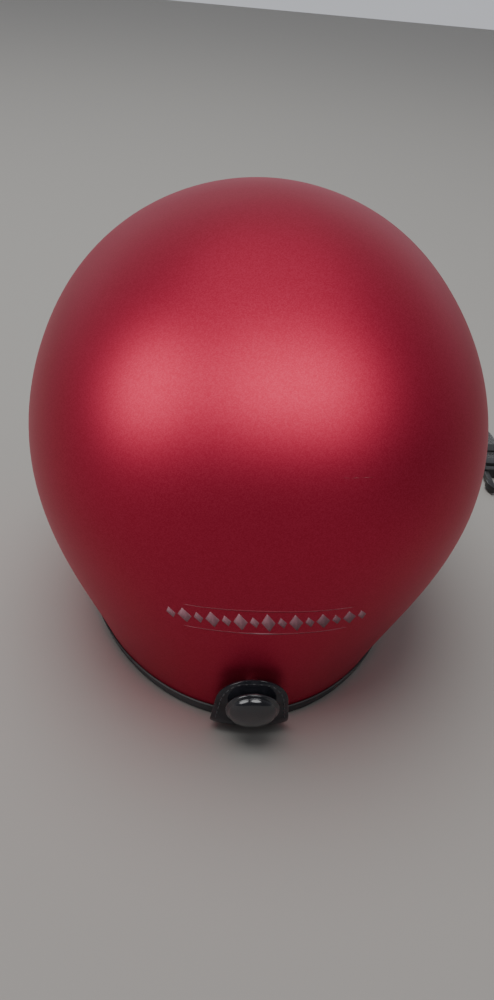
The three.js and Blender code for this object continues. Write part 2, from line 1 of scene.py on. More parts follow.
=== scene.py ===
import json
from math import asin, atan2, copysign, cos, exp, pi, radians, sin, sqrt

import bpy
import bmesh
from mathutils import Matrix, Vector, geometry, kdtree
from mathutils.bvhtree import BVHTree
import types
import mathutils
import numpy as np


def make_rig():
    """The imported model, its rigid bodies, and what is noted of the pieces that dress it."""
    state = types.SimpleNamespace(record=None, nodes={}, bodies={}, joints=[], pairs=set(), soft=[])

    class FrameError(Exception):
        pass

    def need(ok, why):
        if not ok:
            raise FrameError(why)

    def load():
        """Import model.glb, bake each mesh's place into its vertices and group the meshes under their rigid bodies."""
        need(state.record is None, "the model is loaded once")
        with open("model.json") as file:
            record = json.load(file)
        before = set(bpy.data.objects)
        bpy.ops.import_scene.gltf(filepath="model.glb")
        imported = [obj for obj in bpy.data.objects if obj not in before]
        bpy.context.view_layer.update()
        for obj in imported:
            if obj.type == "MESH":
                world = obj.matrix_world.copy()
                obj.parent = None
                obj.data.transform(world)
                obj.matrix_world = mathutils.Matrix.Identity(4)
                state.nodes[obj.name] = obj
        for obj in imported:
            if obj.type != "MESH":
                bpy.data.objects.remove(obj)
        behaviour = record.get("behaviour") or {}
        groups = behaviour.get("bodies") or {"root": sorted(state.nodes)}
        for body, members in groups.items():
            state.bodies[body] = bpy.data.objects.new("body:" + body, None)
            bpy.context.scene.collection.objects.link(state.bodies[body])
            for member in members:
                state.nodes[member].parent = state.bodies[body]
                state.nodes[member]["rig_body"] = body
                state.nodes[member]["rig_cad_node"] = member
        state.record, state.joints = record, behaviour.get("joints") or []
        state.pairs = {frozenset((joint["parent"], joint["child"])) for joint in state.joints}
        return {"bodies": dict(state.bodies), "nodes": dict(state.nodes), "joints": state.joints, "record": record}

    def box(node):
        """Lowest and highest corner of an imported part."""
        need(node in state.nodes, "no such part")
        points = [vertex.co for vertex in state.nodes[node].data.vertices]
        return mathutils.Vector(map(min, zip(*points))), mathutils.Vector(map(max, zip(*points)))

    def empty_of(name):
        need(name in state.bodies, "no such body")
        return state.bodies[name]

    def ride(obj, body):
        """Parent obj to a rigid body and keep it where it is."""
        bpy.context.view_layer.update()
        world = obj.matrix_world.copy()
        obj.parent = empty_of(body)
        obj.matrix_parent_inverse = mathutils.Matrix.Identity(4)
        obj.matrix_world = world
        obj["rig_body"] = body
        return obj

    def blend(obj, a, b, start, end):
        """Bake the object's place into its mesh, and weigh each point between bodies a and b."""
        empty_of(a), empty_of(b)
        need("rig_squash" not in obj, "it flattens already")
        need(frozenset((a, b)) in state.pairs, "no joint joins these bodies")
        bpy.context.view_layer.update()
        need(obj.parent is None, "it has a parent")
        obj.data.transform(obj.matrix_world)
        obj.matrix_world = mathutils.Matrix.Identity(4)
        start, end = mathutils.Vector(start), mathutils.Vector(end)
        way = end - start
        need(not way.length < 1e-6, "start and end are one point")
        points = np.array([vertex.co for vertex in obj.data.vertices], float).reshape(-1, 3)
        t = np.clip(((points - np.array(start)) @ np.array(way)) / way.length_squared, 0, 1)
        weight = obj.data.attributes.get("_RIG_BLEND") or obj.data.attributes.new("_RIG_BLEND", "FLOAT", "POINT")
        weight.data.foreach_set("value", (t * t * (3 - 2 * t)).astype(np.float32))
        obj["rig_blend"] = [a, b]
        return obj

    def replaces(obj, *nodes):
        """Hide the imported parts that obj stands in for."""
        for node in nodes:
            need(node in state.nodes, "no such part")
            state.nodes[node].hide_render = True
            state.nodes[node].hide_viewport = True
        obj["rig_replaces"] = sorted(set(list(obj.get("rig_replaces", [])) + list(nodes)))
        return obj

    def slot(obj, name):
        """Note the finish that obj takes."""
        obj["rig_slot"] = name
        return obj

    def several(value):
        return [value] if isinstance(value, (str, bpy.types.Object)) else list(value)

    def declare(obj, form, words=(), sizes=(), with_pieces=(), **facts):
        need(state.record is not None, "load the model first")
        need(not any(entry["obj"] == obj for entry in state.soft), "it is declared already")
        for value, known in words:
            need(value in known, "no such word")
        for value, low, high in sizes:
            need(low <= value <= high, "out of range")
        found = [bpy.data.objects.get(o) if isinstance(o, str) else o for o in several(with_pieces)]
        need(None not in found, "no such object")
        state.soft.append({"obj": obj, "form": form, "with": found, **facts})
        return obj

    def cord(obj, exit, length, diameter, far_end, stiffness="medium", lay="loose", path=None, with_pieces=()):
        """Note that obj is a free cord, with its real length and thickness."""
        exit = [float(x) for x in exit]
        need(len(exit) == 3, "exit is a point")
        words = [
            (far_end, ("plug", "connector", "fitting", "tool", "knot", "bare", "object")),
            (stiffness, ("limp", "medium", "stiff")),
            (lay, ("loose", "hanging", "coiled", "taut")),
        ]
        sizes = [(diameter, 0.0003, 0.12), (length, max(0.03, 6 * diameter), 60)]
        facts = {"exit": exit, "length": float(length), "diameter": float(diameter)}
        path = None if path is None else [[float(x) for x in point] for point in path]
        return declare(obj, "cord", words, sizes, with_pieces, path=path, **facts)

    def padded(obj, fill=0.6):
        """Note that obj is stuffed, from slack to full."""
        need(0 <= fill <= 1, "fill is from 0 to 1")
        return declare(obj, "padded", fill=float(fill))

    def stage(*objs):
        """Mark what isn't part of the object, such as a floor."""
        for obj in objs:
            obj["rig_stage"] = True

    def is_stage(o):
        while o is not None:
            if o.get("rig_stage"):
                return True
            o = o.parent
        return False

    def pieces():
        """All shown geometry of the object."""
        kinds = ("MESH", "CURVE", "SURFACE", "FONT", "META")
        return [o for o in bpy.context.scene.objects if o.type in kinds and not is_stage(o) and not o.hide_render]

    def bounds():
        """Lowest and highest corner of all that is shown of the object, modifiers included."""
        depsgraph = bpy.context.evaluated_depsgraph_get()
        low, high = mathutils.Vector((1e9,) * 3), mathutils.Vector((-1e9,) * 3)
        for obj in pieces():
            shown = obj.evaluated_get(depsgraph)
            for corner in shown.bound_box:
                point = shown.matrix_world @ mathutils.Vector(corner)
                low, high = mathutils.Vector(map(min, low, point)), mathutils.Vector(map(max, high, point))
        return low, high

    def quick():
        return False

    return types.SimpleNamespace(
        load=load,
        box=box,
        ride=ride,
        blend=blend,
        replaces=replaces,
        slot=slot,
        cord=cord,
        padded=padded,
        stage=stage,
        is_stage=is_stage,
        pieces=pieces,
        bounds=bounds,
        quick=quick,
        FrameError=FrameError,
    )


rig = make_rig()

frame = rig.load()
cad_low, cad_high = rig.bounds()
bpy.ops.object.select_all(action="DESELECT")

# ---- Camera ---------------------------------------------------------------------------------------
# It looks down at the back of the helmet from a little to its left, at arm's length, and is held
# slightly turned, so that level lines fall towards the right.
shell_rear = 0.1195
axis_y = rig.box("outer_shell")[1].y - shell_rear  # the helmet's upright axis, in the row frame
camera_pitch, camera_turn, camera_roll = radians(38.04), radians(5.66), radians(5.88)
camera_distance, camera_height = 0.3446, 0.3173
level_ahead = Vector((-sin(camera_turn), -cos(camera_turn), 0))
ahead = level_ahead * cos(camera_pitch) - Vector((0, 0, sin(camera_pitch)))
level_right = Vector((-cos(camera_turn), sin(camera_turn), 0))
level_up = level_right.cross(ahead)
right = level_right * cos(camera_roll) + level_up * sin(camera_roll)
up = level_up * cos(camera_roll) - level_right * sin(camera_roll)
bpy.ops.object.camera_add()
camera = bpy.context.object
camera.data.lens = 27.54
camera.data.clip_start = 0.01
camera.matrix_world = Matrix((right, up, -ahead)).transposed().to_4x4()
camera.location = Vector((0, axis_y, camera_height)) - level_ahead * camera_distance
bpy.context.scene.camera = camera


# ---- Chin straps ----------------------------------------------------------------------------------
# Two lengths of black woven webbing, riveted inside the shell below the ears. The right one lies out
# to the side with the buckle's plug on it; the left one curls in front with the socket and a sleeve.
STRAP_WIDTH, STRAP_THICK = 0.019, 0.0016
STRAP_LENGTHS = {"right": 0.281, "left": 0.195}


def new_material(name, roughness, metallic=0.0, **sockets):
    """A material with its Principled shader; constant values go straight on the shader's sockets."""
    material = bpy.data.materials.new(name)
    material.use_nodes = True
    shader = material.node_tree.nodes["Principled BSDF"]
    shader.inputs["Roughness"].default_value = roughness
    shader.inputs["Metallic"].default_value = metallic
    for socket, value in sockets.items():
        shader.inputs[socket.replace("_", " ")].default_value = value
    return material, shader


def add_node(material, kind, inputs=None, **settings):
    made = material.node_tree.nodes.new("ShaderNode" + kind)
    for setting, value in settings.items():
        setattr(made, setting, value)
    for socket, value in (inputs or {}).items():
        if isinstance(value, bpy.types.NodeSocket):
            material.node_tree.links.new(value, made.inputs[socket])
        else:
            made.inputs[socket].default_value = value
    return made


def object_coordinates(material):
    return add_node(material, "TexCoord").outputs["Object"]


def noise(material, place, scale, detail):
    made = add_node(material, "TexNoise", {"Vector": place, "Scale": scale, "Detail": detail})
    return made.outputs["Fac"]


def two_colours(material, factor, first, second, start=0.3, end=0.7):
    """A colour that goes from first to second as factor goes from start to end."""
    ramp = add_node(material, "ValToRGB", {"Fac": factor})
    ramp.color_ramp.elements[0].position, ramp.color_ramp.elements[0].color = start, (*first, 1)
    ramp.color_ramp.elements[1].position, ramp.color_ramp.elements[1].color = end, (*second, 1)
    return ramp.outputs["Color"]


def between(material, factor, low, high):
    """factor from 0 to 1, spread from low to high."""
    spread = add_node(material, "MapRange", {"Value": factor, "To Min": low, "To Max": high})
    return spread.outputs["Result"]


def set_bump(material, shader, height, distance, strength):
    bump = add_node(material, "Bump", {"Height": height, "Distance": distance, "Strength": strength})
    material.node_tree.links.new(bump.outputs["Normal"], shader.inputs["Normal"])


def link(material, output, shader, socket):
    material.node_tree.links.new(output, shader.inputs[socket])


def from_mesh(name, points, faces, material):
    """A new object from points and faces, in the row frame."""
    mesh = bpy.data.meshes.new(name)
    mesh.from_pydata([tuple(p) for p in points], [], faces)
    mesh.materials.append(material)
    mesh.polygons.foreach_set("use_smooth", [True] * len(mesh.polygons))
    mesh.update()
    piece = bpy.data.objects.new(name, mesh)
    bpy.context.scene.collection.objects.link(piece)
    return piece


def loft(name, rings, material, closed=False):
    """A skin over rings of points. An open one gets flat ends; a closed one joins up with itself."""
    size = len(rings[0])
    points = [p for ring in rings for p in ring]
    faces = []
    for i in range(len(rings) if closed else len(rings) - 1):
        a, b = i * size, (i + 1) % len(rings) * size
        faces += [(a + j, a + (j + 1) % size, b + (j + 1) % size, b + j) for j in range(size)]
    if not closed:
        faces += [tuple(range(size))[::-1], tuple((len(rings) - 1) * size + j for j in range(size))]
    piece = from_mesh(name, points, faces, material)
    mesh = piece.data
    uv = mesh.uv_layers.new(name="along")
    for polygon in mesh.polygons[: len(mesh.polygons) - (0 if closed else 2)]:
        row, column = divmod(polygon.index, size)
        corners = ((column, row), (column + 1, row), (column + 1, row + 1), (column, row + 1))
        for loop, corner in zip(polygon.loop_indices, corners):
            uv.data[loop].uv = (corner[0] / size, corner[1] / len(rings))
    outward_normals(piece)
    return piece


def outward_normals(piece):
    edit = bmesh.new()
    edit.from_mesh(piece.data)
    bmesh.ops.recalc_face_normals(edit, faces=edit.faces)
    edit.to_mesh(piece.data)
    edit.free()


def curve_through(points, count):
    """count points, evenly spaced, on a smooth curve through the given ones."""
    fine = []
    ends = [points[0] * 2 - points[1], *points, points[-1] * 2 - points[-2]]
    for a, b, c, d in zip(ends, ends[1:], ends[2:], ends[3:]):
        for i in range(24):
            t = i / 24
            square, cube = 2 * a - 5 * b + 4 * c - d, 3 * b - a - 3 * c + d
            fine.append(0.5 * (2 * b + (c - a) * t + square * t**2 + cube * t**3))
    return evenly_spaced([*fine, points[-1]], count)


def hoop(centre, side, up, radius, count):
    """Points round a circle."""
    turns = [2 * pi * k / count for k in range(count)]
    return [centre + (side * cos(turn) + up * sin(turn)) * radius for turn in turns]


def evenly_spaced(points, count):
    lengths = [0.0]
    for a, b in zip(points, points[1:]):
        lengths.append(lengths[-1] + (b - a).length)
    spaced, i = [], 0
    for k in range(count):
        at = lengths[-1] * k / (count - 1)
        while i < len(points) - 2 and lengths[i + 1] < at:
            i += 1
        span = lengths[i + 1] - lengths[i]
        spaced.append(points[i].lerp(points[i + 1], (at - lengths[i]) / span if span else 0))
    return spaced


def in_row(x, y, z):
    """Millimetres from the helmet's upright axis and the ground, as a point in the row frame."""
    return Vector((x / 1000, y / 1000 + axis_y, z / 1000))


def band_frames(route, count):
    """Middle points along a flat strap's route, with its width direction and its face direction."""
    line = curve_through([in_row(*at) for at, _ in route], count)
    widths = evenly_spaced_widths(route, line)
    frames = []
    for i, point in enumerate(line):
        along = (line[min(i + 1, count - 1)] - line[max(i - 1, 0)]).normalized()
        across = (widths[i] - along * widths[i].dot(along)).normalized()
        frames.append((point, across, along.cross(across)))
    return frames


def evenly_spaced_widths(route, line):
    """The width direction for each point of the line, blended between the route's own points."""
    marks = []
    for at, wide in route:
        nearest = min(range(len(line)), key=lambda i: (line[i] - in_row(*at)).length)
        marks.append((nearest, Vector(wide).normalized()))
    widths = []
    for i in range(len(line)):
        after = next((k for k in range(1, len(marks)) if marks[k][0] >= i), len(marks) - 1)
        (i0, w0), (i1, w1) = marks[after - 1], marks[after]
        t = min(1, max(0, (i - i0) / max(1, i1 - i0)))
        widths.append(w0.lerp(w1, t * t * (3 - 2 * t)))
    return widths


def fixed(piece, body, slot, *nodes):
    """The piece rides on a body, takes a material slot and stands for CAD nodes."""
    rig.ride(piece, body)
    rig.slot(piece, slot)
    if nodes:
        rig.replaces(piece, *nodes)
    return piece


strap_cloth, shader = new_material("black_webbing", 0.82, Sheen_Weight=0.35, Sheen_Roughness=0.5)
strap_uv = add_node(strap_cloth, "UVMap", uv_map="along").outputs["UV"]
weave_map = add_node(strap_cloth, "Mapping",
                     {"Vector": strap_uv, "Scale": (24, 150, 1), "Rotation": (0, 0, pi / 2)})
weave = add_node(strap_cloth, "TexBrick", {"Vector": weave_map.outputs["Vector"], "Scale": 1.0,
                 "Mortar Size": 0.08, "Mortar Smooth": 0.8, "Brick Width": 1.0, "Row Height": 0.5,
                 "Bias": 0.0, "Color1": (0.018, 0.018, 0.020, 1), "Color2": (0.042, 0.042, 0.046, 1),
                 "Mortar": (0.006, 0.006, 0.007, 1)})
link(strap_cloth, weave.outputs["Color"], shader, "Base Color")
threads = add_node(strap_cloth, "Math", {0: 1.0, 1: weave.outputs["Fac"]}, operation="SUBTRACT")
set_bump(strap_cloth, shader, threads.outputs["Value"], 0.0004, 0.8)

STRAP_ROUTES = {
    "right": [
        ((-89.5, -18, 38), (0, -0.6, 0.8)), ((-80, -35, 25), (0, -0.5, 0.85)), ((-70, -56, 14), (0, -0.2, 1)),
        ((-76, -84, 10.2), (0, 0, 1)), ((-94, -114, 10.2), (0, 0, 1)), ((-122, -140, 10.2), (0, 0, 1)),
        ((-153, -163, 8.6), (-0.2, -0.6, 0.6)), ((-178, -167, 4.6), (-0.5, -0.9, 0)),
        ((-190, -155, 4.1), (-1, -0.4, 0)), ((-192, -140, 4.1), (-1, 0, 0)), ((-192, -124, 4.1), (-1, 0, 0)),
        ((-192, -108.6, 4.1), (-1, 0, 0)),
    ],
    "left": [
        ((89.5, -18, 38), (0, -0.6, 0.8)), ((80, -35, 25), (0, -0.5, 0.85)), ((71, -56, 14), (0.3, -0.2, 1)),
        ((70, -76, 7.5), (0.9, -0.2, 0.6)), ((61, -95, 5.4), (1, -0.6, 0)), ((47, -113, 5.2), (0.8, -0.8, 0)),
        ((28, -127, 5.2), (0.5, -1, 0)), ((5, -134, 4.9), (0.2, -1, 0)), ((-14, -136, 4.6), (0, -1, 0)),
        ((-27.6, -136, 4.6), (0, -1, 0)),
    ],
}
strap_lines = {}
straps = {}
for side, route in STRAP_ROUTES.items():
    rings = []
    for point, across, face in band_frames(route, 150):
        ring = []
        for i in range(36):
            share = i / 9 - 1 if i <= 18 else 3 - i / 9
            deep = sqrt(max(0, 1 - share**10)) * (-1 if i <= 18 else 1)
            ring.append(point - across * share * STRAP_WIDTH / 2 + face * deep * STRAP_THICK / 2)
        rings.append(ring)
    strap_lines[side] = [sum(ring, Vector()) / len(ring) for ring in rings]
    straps[side] = loft(f"webbing_{side}", rings, strap_cloth)
    fixed(straps[side], "helmet", "webbing", f"chin_strap_{side}")


# ---- Outer shell ----------------------------------------------------------------------------------
# One moulded plastic shell, smooth and without vents, widest at half its height and tucked in round
# the neck. It is lacquered in satin candy red over a fine metallic ground.
SHELL_WALL = 3.2
WIDEST, CROWN = 106.5, 219.0
# Each outline seen from above: half its width, its front, its rear, and how square its rear is.
WIDEST_PLAN, RIM_PLAN = (113, 128, shell_rear * 1000, 2.45), (85.5, 114, 112.5, 1.93)


def plan_radius(azimuth, half_width, front, rear, rear_power):
    back = (1 - cos(azimuth)) / 2
    blend = back * back * (3 - 2 * back)
    length, power = front + (rear - front) * blend, 2 + (rear_power - 2) * blend
    across, along = abs(sin(azimuth) / half_width) ** power, abs(cos(azimuth) / length) ** power
    return (across + along) ** (-1 / power)


def skin_point(azimuth, level):
    """A point of the helmet's skin in millimetres. Level is -1 at the rim and 1 at the crown."""
    radius, height = plan_radius(azimuth, *WIDEST_PLAN), WIDEST
    if level >= 0:
        height += (CROWN - WIDEST) * sin(level * pi / 2)
        radius *= cos(level * pi / 2)
    else:
        tuck = level * level * (2 + level)
        rim = plan_radius(azimuth, *RIM_PLAN)
        height += WIDEST * level
        radius = sqrt(radius * radius * (1 - tuck) + rim * rim * tuck)
    return Vector((radius * sin(azimuth), -radius * cos(azimuth), height))


def skin_normal(azimuth, level):
    if level > 0.999:
        return Vector((0, 0, 1))
    step = 1e-3
    across = skin_point(azimuth + step, level) - skin_point(azimuth - step, level)
    upward = skin_point(azimuth, level + step) - skin_point(azimuth, level - step)
    return across.cross(upward).normalized()


def level_of(height):
    if height < WIDEST:
        return height / WIDEST - 1
    return asin(min(1, (height - WIDEST) / (CROWN - WIDEST))) / (pi / 2)


def under(azimuth, height, depth):
    """The point at a depth under the skin, or in front of it for a negative depth."""
    level = level_of(height)
    return skin_point(azimuth, level) - skin_normal(azimuth, level) * depth


def inside(azimuth, height, depth):
    """The point at a true height on the surface that lies at a depth under the skin."""
    foot = height
    for _ in range(12):
        foot += height - under(azimuth, foot, depth).z
    return under(azimuth, foot, depth)


def row(point):
    return in_row(*point)


def egg(name, depth_at, around, rings):
    """A sphere shaped to the surface at a depth under the skin, carried on a little below the rim."""
    bpy.ops.mesh.primitive_uv_sphere_add(segments=around, ring_count=rings, radius=1)
    piece = bpy.context.object
    piece.name = piece.data.name = name
    last = pi / 2 - pi / rings
    for vertex in piece.data.vertices:
        azimuth = atan2(vertex.co.x, -vertex.co.y)
        rise = asin(max(-1, min(1, vertex.co.z)))
        if rise < -last - 1e-3:
            vertex.co = in_row(0, 0, WIDEST * -0.18)
            continue
        level = rise / (pi / 2) if rise >= 0 else rise / last * 1.18
        skin = skin_point(azimuth, level)
        vertex.co = row(skin - skin_normal(azimuth, level) * depth_at(azimuth, skin.z))
    return piece


OUTLINE_RADIUS = 105  # millimetres of outline for each radian of azimuth
RIM_HEIGHT = 2.2


def bezier(*controls):
    return geometry.interpolate_bezier(*[Vector((x, z, 0)) for x, z in controls], 40)[:-1]


half_arch = [
    *bezier((-131, RIM_HEIGHT), (-116, RIM_HEIGHT), (-115, 10), (-117, 26)),
    *bezier((-117, 26), (-122, 62), (-126, 140), (-52, 140)),
    Vector((-52, 140, 0)),
]
arch_outline = half_arch + [Vector((-p.x, p.y, 0)) for p in reversed(half_arch)]


def grown(outline, margin):
    """The outline moved sideways by a margin, into the shell."""
    moved = []
    for i, point in enumerate(outline):
        along = (outline[min(i + 1, len(outline) - 1)] - outline[max(i - 1, 0)]).normalized()
        moved.append(point + Vector((-along.y, along.x, 0)) * margin)
    return moved


ARCH_TOP_END, CUT_NEAR, CUT_FAR, CUT_FLOOR = -51.5, 48, 168, -24


def opening_cutter(margin):
    """A solid that fills the face opening, grown by a margin, from inside the foam to past the shell."""
    outline = grown(evenly_spaced(arch_outline, 120), margin)
    rings = []
    for edge in [Vector((outline[0].x, CUT_FLOOR, 0)), *[p for p in outline if p.x < ARCH_TOP_END]]:
        spread = [edge.x * (1 - i / 20) / OUTLINE_RADIUS for i in range(41)]
        near = [in_row(CUT_NEAR * sin(a), -CUT_NEAR * cos(a), edge.y) for a in spread]
        far = [in_row(CUT_FAR * sin(a), -CUT_FAR * cos(a), edge.y) for a in reversed(spread)]
        rings.append(near + far)
    return loft("opening_cutter", rings, bpy.data.materials.new("cutter"))


def pick(piece):
    bpy.ops.object.select_all(action="DESELECT")
    piece.select_set(True)
    bpy.context.view_layer.objects.active = piece


def modify(piece, kind, **settings):
    """Adds one modifier to the piece, and applies it."""
    pick(piece)
    modifier = piece.modifiers.new(kind.lower(), kind)
    for setting, value in settings.items():
        setattr(modifier, setting, value)
    bpy.ops.object.modifier_apply(modifier=modifier.name)


def cut_away(piece, cutter):
    """Takes the cutter's space out of the piece, and removes the cutter."""
    modify(piece, "BOOLEAN", operation="DIFFERENCE", solver="EXACT", object=cutter)
    bpy.data.objects.remove(cutter)


def block(low, high):
    """A plain cutting block between two corners, in millimetres."""
    centre = [(a + b) / 2 for a, b in zip(low, high)]
    size = [(b - a) / 1000 for a, b in zip(low, high)]
    bpy.ops.mesh.primitive_cube_add(size=1, location=in_row(*centre), scale=size)
    return bpy.context.object


def smooth_faces(piece, angle=35):
    pick(piece)
    bpy.ops.object.shade_smooth_by_angle(angle=radians(angle))


shell = egg("shell", lambda azimuth, height: 0, 224, 112)
cut_away(shell, egg("shell_hollow", lambda azimuth, height: SHELL_WALL, 224, 112))
cut_away(shell, opening_cutter(0))
cut_away(shell, block((-300, -300, -80), (300, 300, RIM_HEIGHT)))
smooth_faces(shell)

candy_red, shader = new_material("candy_red_lacquer", 0.46, 0.94, Coat_Weight=0.05, Coat_Roughness=0.4)
place = object_coordinates(candy_red)
flakes = add_node(candy_red, "TexVoronoi", {"Vector": place, "Scale": 2600.0})
flake_tone = add_node(candy_red, "SeparateColor", {"Color": flakes.outputs["Color"]}).outputs["Red"]
flake_colour = two_colours(candy_red, flake_tone, (0.39, 0.017, 0.046), (0.45, 0.028, 0.066), 0.1, 0.95)
link(candy_red, flake_colour, shader, "Base Color")
cloudy = noise(candy_red, place, 14.0, 4.0)
link(candy_red, between(candy_red, cloudy, 0.43, 0.52), shader, "Roughness")
peel = noise(candy_red, place, 420.0, 2.0)
set_bump(candy_red, shader, peel, 0.00004, 0.2)
raw_plastic, shader = new_material("raw_black_plastic", 0.6)
place = object_coordinates(raw_plastic)
mould_grain = noise(raw_plastic, place, 260.0, 5.0)
tone = two_colours(raw_plastic, mould_grain, (0.012, 0.012, 0.013), (0.030, 0.030, 0.032))
link(raw_plastic, tone, shader, "Base Color")
link(raw_plastic, between(raw_plastic, mould_grain, 0.5, 0.72), shader, "Roughness")
set_bump(raw_plastic, shader, mould_grain, 0.0002, 0.6)
shell.data.materials.clear()
shell.data.materials.append(candy_red)
shell.data.materials.append(raw_plastic)
for face in shell.data.polygons:
    face.material_index = 1 if face.normal.dot(face.center - in_row(0, 0, 90)) < 0 else 0
fixed(shell, "helmet", "shell_paint", "outer_shell")


# ---- Edge trim --------------------------------------------------------------------------------------
# An extruded rubber channel pushed over the shell's whole edge, round the neck and over the brow. Its
# foot is flat where the helmet stands on it, and its two ends butt together behind the left ear.
TRIM_SECTION = [
    (1.72, -3.9), (2.2, -4.3), (2.65, -3.9), (2.75, -3.0), (2.8, 0.4), (2.6, 1.7), (2.0, 2.7), (0.8, 3.1),
    (-0.8, 3.1), (-2.0, 2.7), (-2.6, 1.7), (-2.8, 0.4), (-2.75, -4.1), (-2.5, -4.9),
    (-2.1, -5.1), (-1.72, -4.7),
    (-1.72, 0.2), (0, 0.45), (1.72, 0.2),
]
NECK_END = 2 * pi * OUTLINE_RADIUS - 131
SEAM_AT = 265


def trim_ring(at, along, shrink=1.0):
    """The channel's section at a point of the unrolled outline, flat where it meets the ground."""
    azimuth = at.x / OUTLINE_RADIUS
    middle, out = under(azimuth, at.y, SHELL_WALL / 2), skin_normal(azimuth, level_of(at.y))
    further = at + along * 0.5
    forward = (under(further.x / OUTLINE_RADIUS, further.y, SHELL_WALL / 2) - middle).normalized()
    beyond = forward.cross(out).normalized()
    ring = []
    for across, past in TRIM_SECTION:
        point = middle + out * across * shrink + beyond * past * shrink
        point.z = max(point.z, 0)
        ring.append(row(point))
    return ring


def speckled(name, dark, light, roughness, grain, depth, metallic=0.0, **sockets):
    """A plain moulded finish: fine grain in its surface, and broad uneven wear in its colour and gloss."""
    material, shader = new_material(name, roughness, metallic, **sockets)
    place = object_coordinates(material)
    fine = add_node(material, "TexNoise", {"Vector": place, "Scale": grain, "Detail": 5.0, "Roughness": 0.6})
    broad = noise(material, place, 32.0, 3.0)
    link(material, two_colours(material, broad, dark, light, 0.35, 0.7), shader, "Base Color")
    gloss = between(material, broad, roughness - 0.1, roughness + 0.1)
    link(material, gloss, shader, "Roughness")
    set_bump(material, shader, fine.outputs["Fac"], depth, 0.6)
    return material


arch = evenly_spaced(arch_outline, 230)
trim_rings = []
level = Vector((1, 0, 0))
for before, at, after in zip([arch[0] - level, *arch], arch, [*arch[1:], arch[-1] + level]):
    trim_rings.append(trim_ring(at, (after - before).normalized()))
neck_count = 190
neck_step = (NECK_END - 131) / neck_count
for i in range(1, neck_count):
    s = 131 + neck_step * i
    trim_rings.append(trim_ring(Vector((s, RIM_HEIGHT, 0)), level))
    if s < SEAM_AT <= s + neck_step:
        for offset, shrink in ((-0.35, 1), (-0.15, 0.93), (0.15, 0.93), (0.35, 1)):
            trim_rings.append(trim_ring(Vector((SEAM_AT + offset, RIM_HEIGHT, 0)), level, shrink))
edge_rubber = speckled("edge_rubber", (0.012, 0.012, 0.014), (0.030, 0.029, 0.030), 0.6, 900.0, 0.00008)
trim = loft("edge_rubber_channel", trim_rings, edge_rubber, closed=True)
smooth_faces(trim, 40)
fixed(trim, "helmet", "rubber", "edge_trim")


# ---- Printed band -------------------------------------------------------------------------------------
# A thin screen-printed row of lozenges between two fine lines, low on the back, in a muted rose ink
# that stands a little proud of the lacquer.
rose_ink = speckled("rose_ink", (0.15, 0.062, 0.080), (0.24, 0.105, 0.13), 0.62, 500.0, 0.00003)
PRINT_RADIUS, PRINT_HEIGHT, PRINT_MIDDLE = 116.0, 74.0, -2.9


def printed(outline):
    """A flat outline of (sideways, upward) millimetres, laid on the back of the skin."""
    outer, inner = [], []
    for sideways, upward in outline:
        azimuth = pi - (sideways + PRINT_MIDDLE) / PRINT_RADIUS
        outer.append(row(under(azimuth, PRINT_HEIGHT + upward, -0.08)))
        inner.append(row(under(azimuth, PRINT_HEIGHT + upward, 0.12)))
    return loft("print", [inner, outer], rose_ink)


def lozenge(centre, half_width, half_height, lean=1.1):
    corners = [(-half_width, 0), (lean, half_height), (half_width, 0), (-lean, -half_height)]
    outline = []
    for (x0, y0), (x1, y1) in zip(corners, corners[1:] + corners[:1]):
        outline += [(centre + x0 + (x1 - x0) * i / 4, y0 + (y1 - y0) * i / 4) for i in range(4)]
    return outline


def joined(name, pieces):
    """Makes one object of several and gives it a name."""
    bpy.ops.object.select_all(action="DESELECT")
    for piece in pieces:
        piece.select_set(True)
    bpy.context.view_layer.objects.active = pieces[0]
    if len(pieces) > 1:
        bpy.ops.object.join()
    pieces[0].name = pieces[0].data.name = name
    return pieces[0]


marks = []
for i in range(-7, 8):
    large = i % 2 == 0
    marks.append(printed(lozenge(i * 5.9, 3.0 if large else 2.0, 5.9 - 0.2 * abs(i) if large else 3.5)))
for upward in (-7.4, 7.4):
    stripe = [(s, upward + 0.4 * (1 - abs(s) / 36)) for s in range(-36, 37, 2)]
    stripe += [(s, upward - 0.4 * (1 - abs(s) / 36)) for s in range(34, -36, -2)]
    marks.append(printed(stripe))
fixed(joined("printed_lozenges", marks), "helmet", "shell_paint")

# A hairline scuff in the lacquer, on the right of the back.
scuff_tone = speckled("scuffed_lacquer", (0.10, 0.012, 0.020), (0.20, 0.03, 0.045), 0.7, 900.0, 0.00003)
scuff = []
for lift in (0.1, -0.03):
    upper = [under(radians(-167.2 + 0.33 * i), 146.9 - 0.02 * i + 0.1 * sin(i), lift) for i in range(20)]
    lower = [p - Vector((0, 0, 0.32 * sin(pi * (i + 0.5) / 20))) for i, p in enumerate(upper)]
    scuff.append([row(p) for p in upper + lower[::-1]])
fixed(loft("lacquer_scuff", scuff, scuff_tone), "helmet", "shell_paint")


# ---- Goggle-strap keeper ------------------------------------------------------------------------------
# A strip of patent leatherette, folded at the rim and stitched round its border. Its foot is riveted
# to the shell, and its tab carries a domed snap cap that presses on to a stud.
KEEPER_LINE = [
    (1.5, 14.2), (1.6, 11), (2.6, 7.6), (3.9, 5.4), (5.3, 4.1), (6.9, 4.3), (8.3, 6.4), (9.0, 10),
    (8.8, 15), (8.4, 21), (7.9, 27), (6.9, 33), (5.5, 39),
]
KEEPER_STEPS = 90
keeper_line = curve_through([Vector((0, out, height)) for out, height in KEEPER_LINE], KEEPER_STEPS)
FOOT_SHARE = 0.24


def on_back(sideways, out, height):
    """A point off the back of the skin, at a distance to one side of its middle."""
    return row(inside(pi - sideways / 112.5, max(height, 0.4), -out))


FOOT_HALF, TAB_HALF, TAB_TAPER = 15.6, 17.2, 3.0


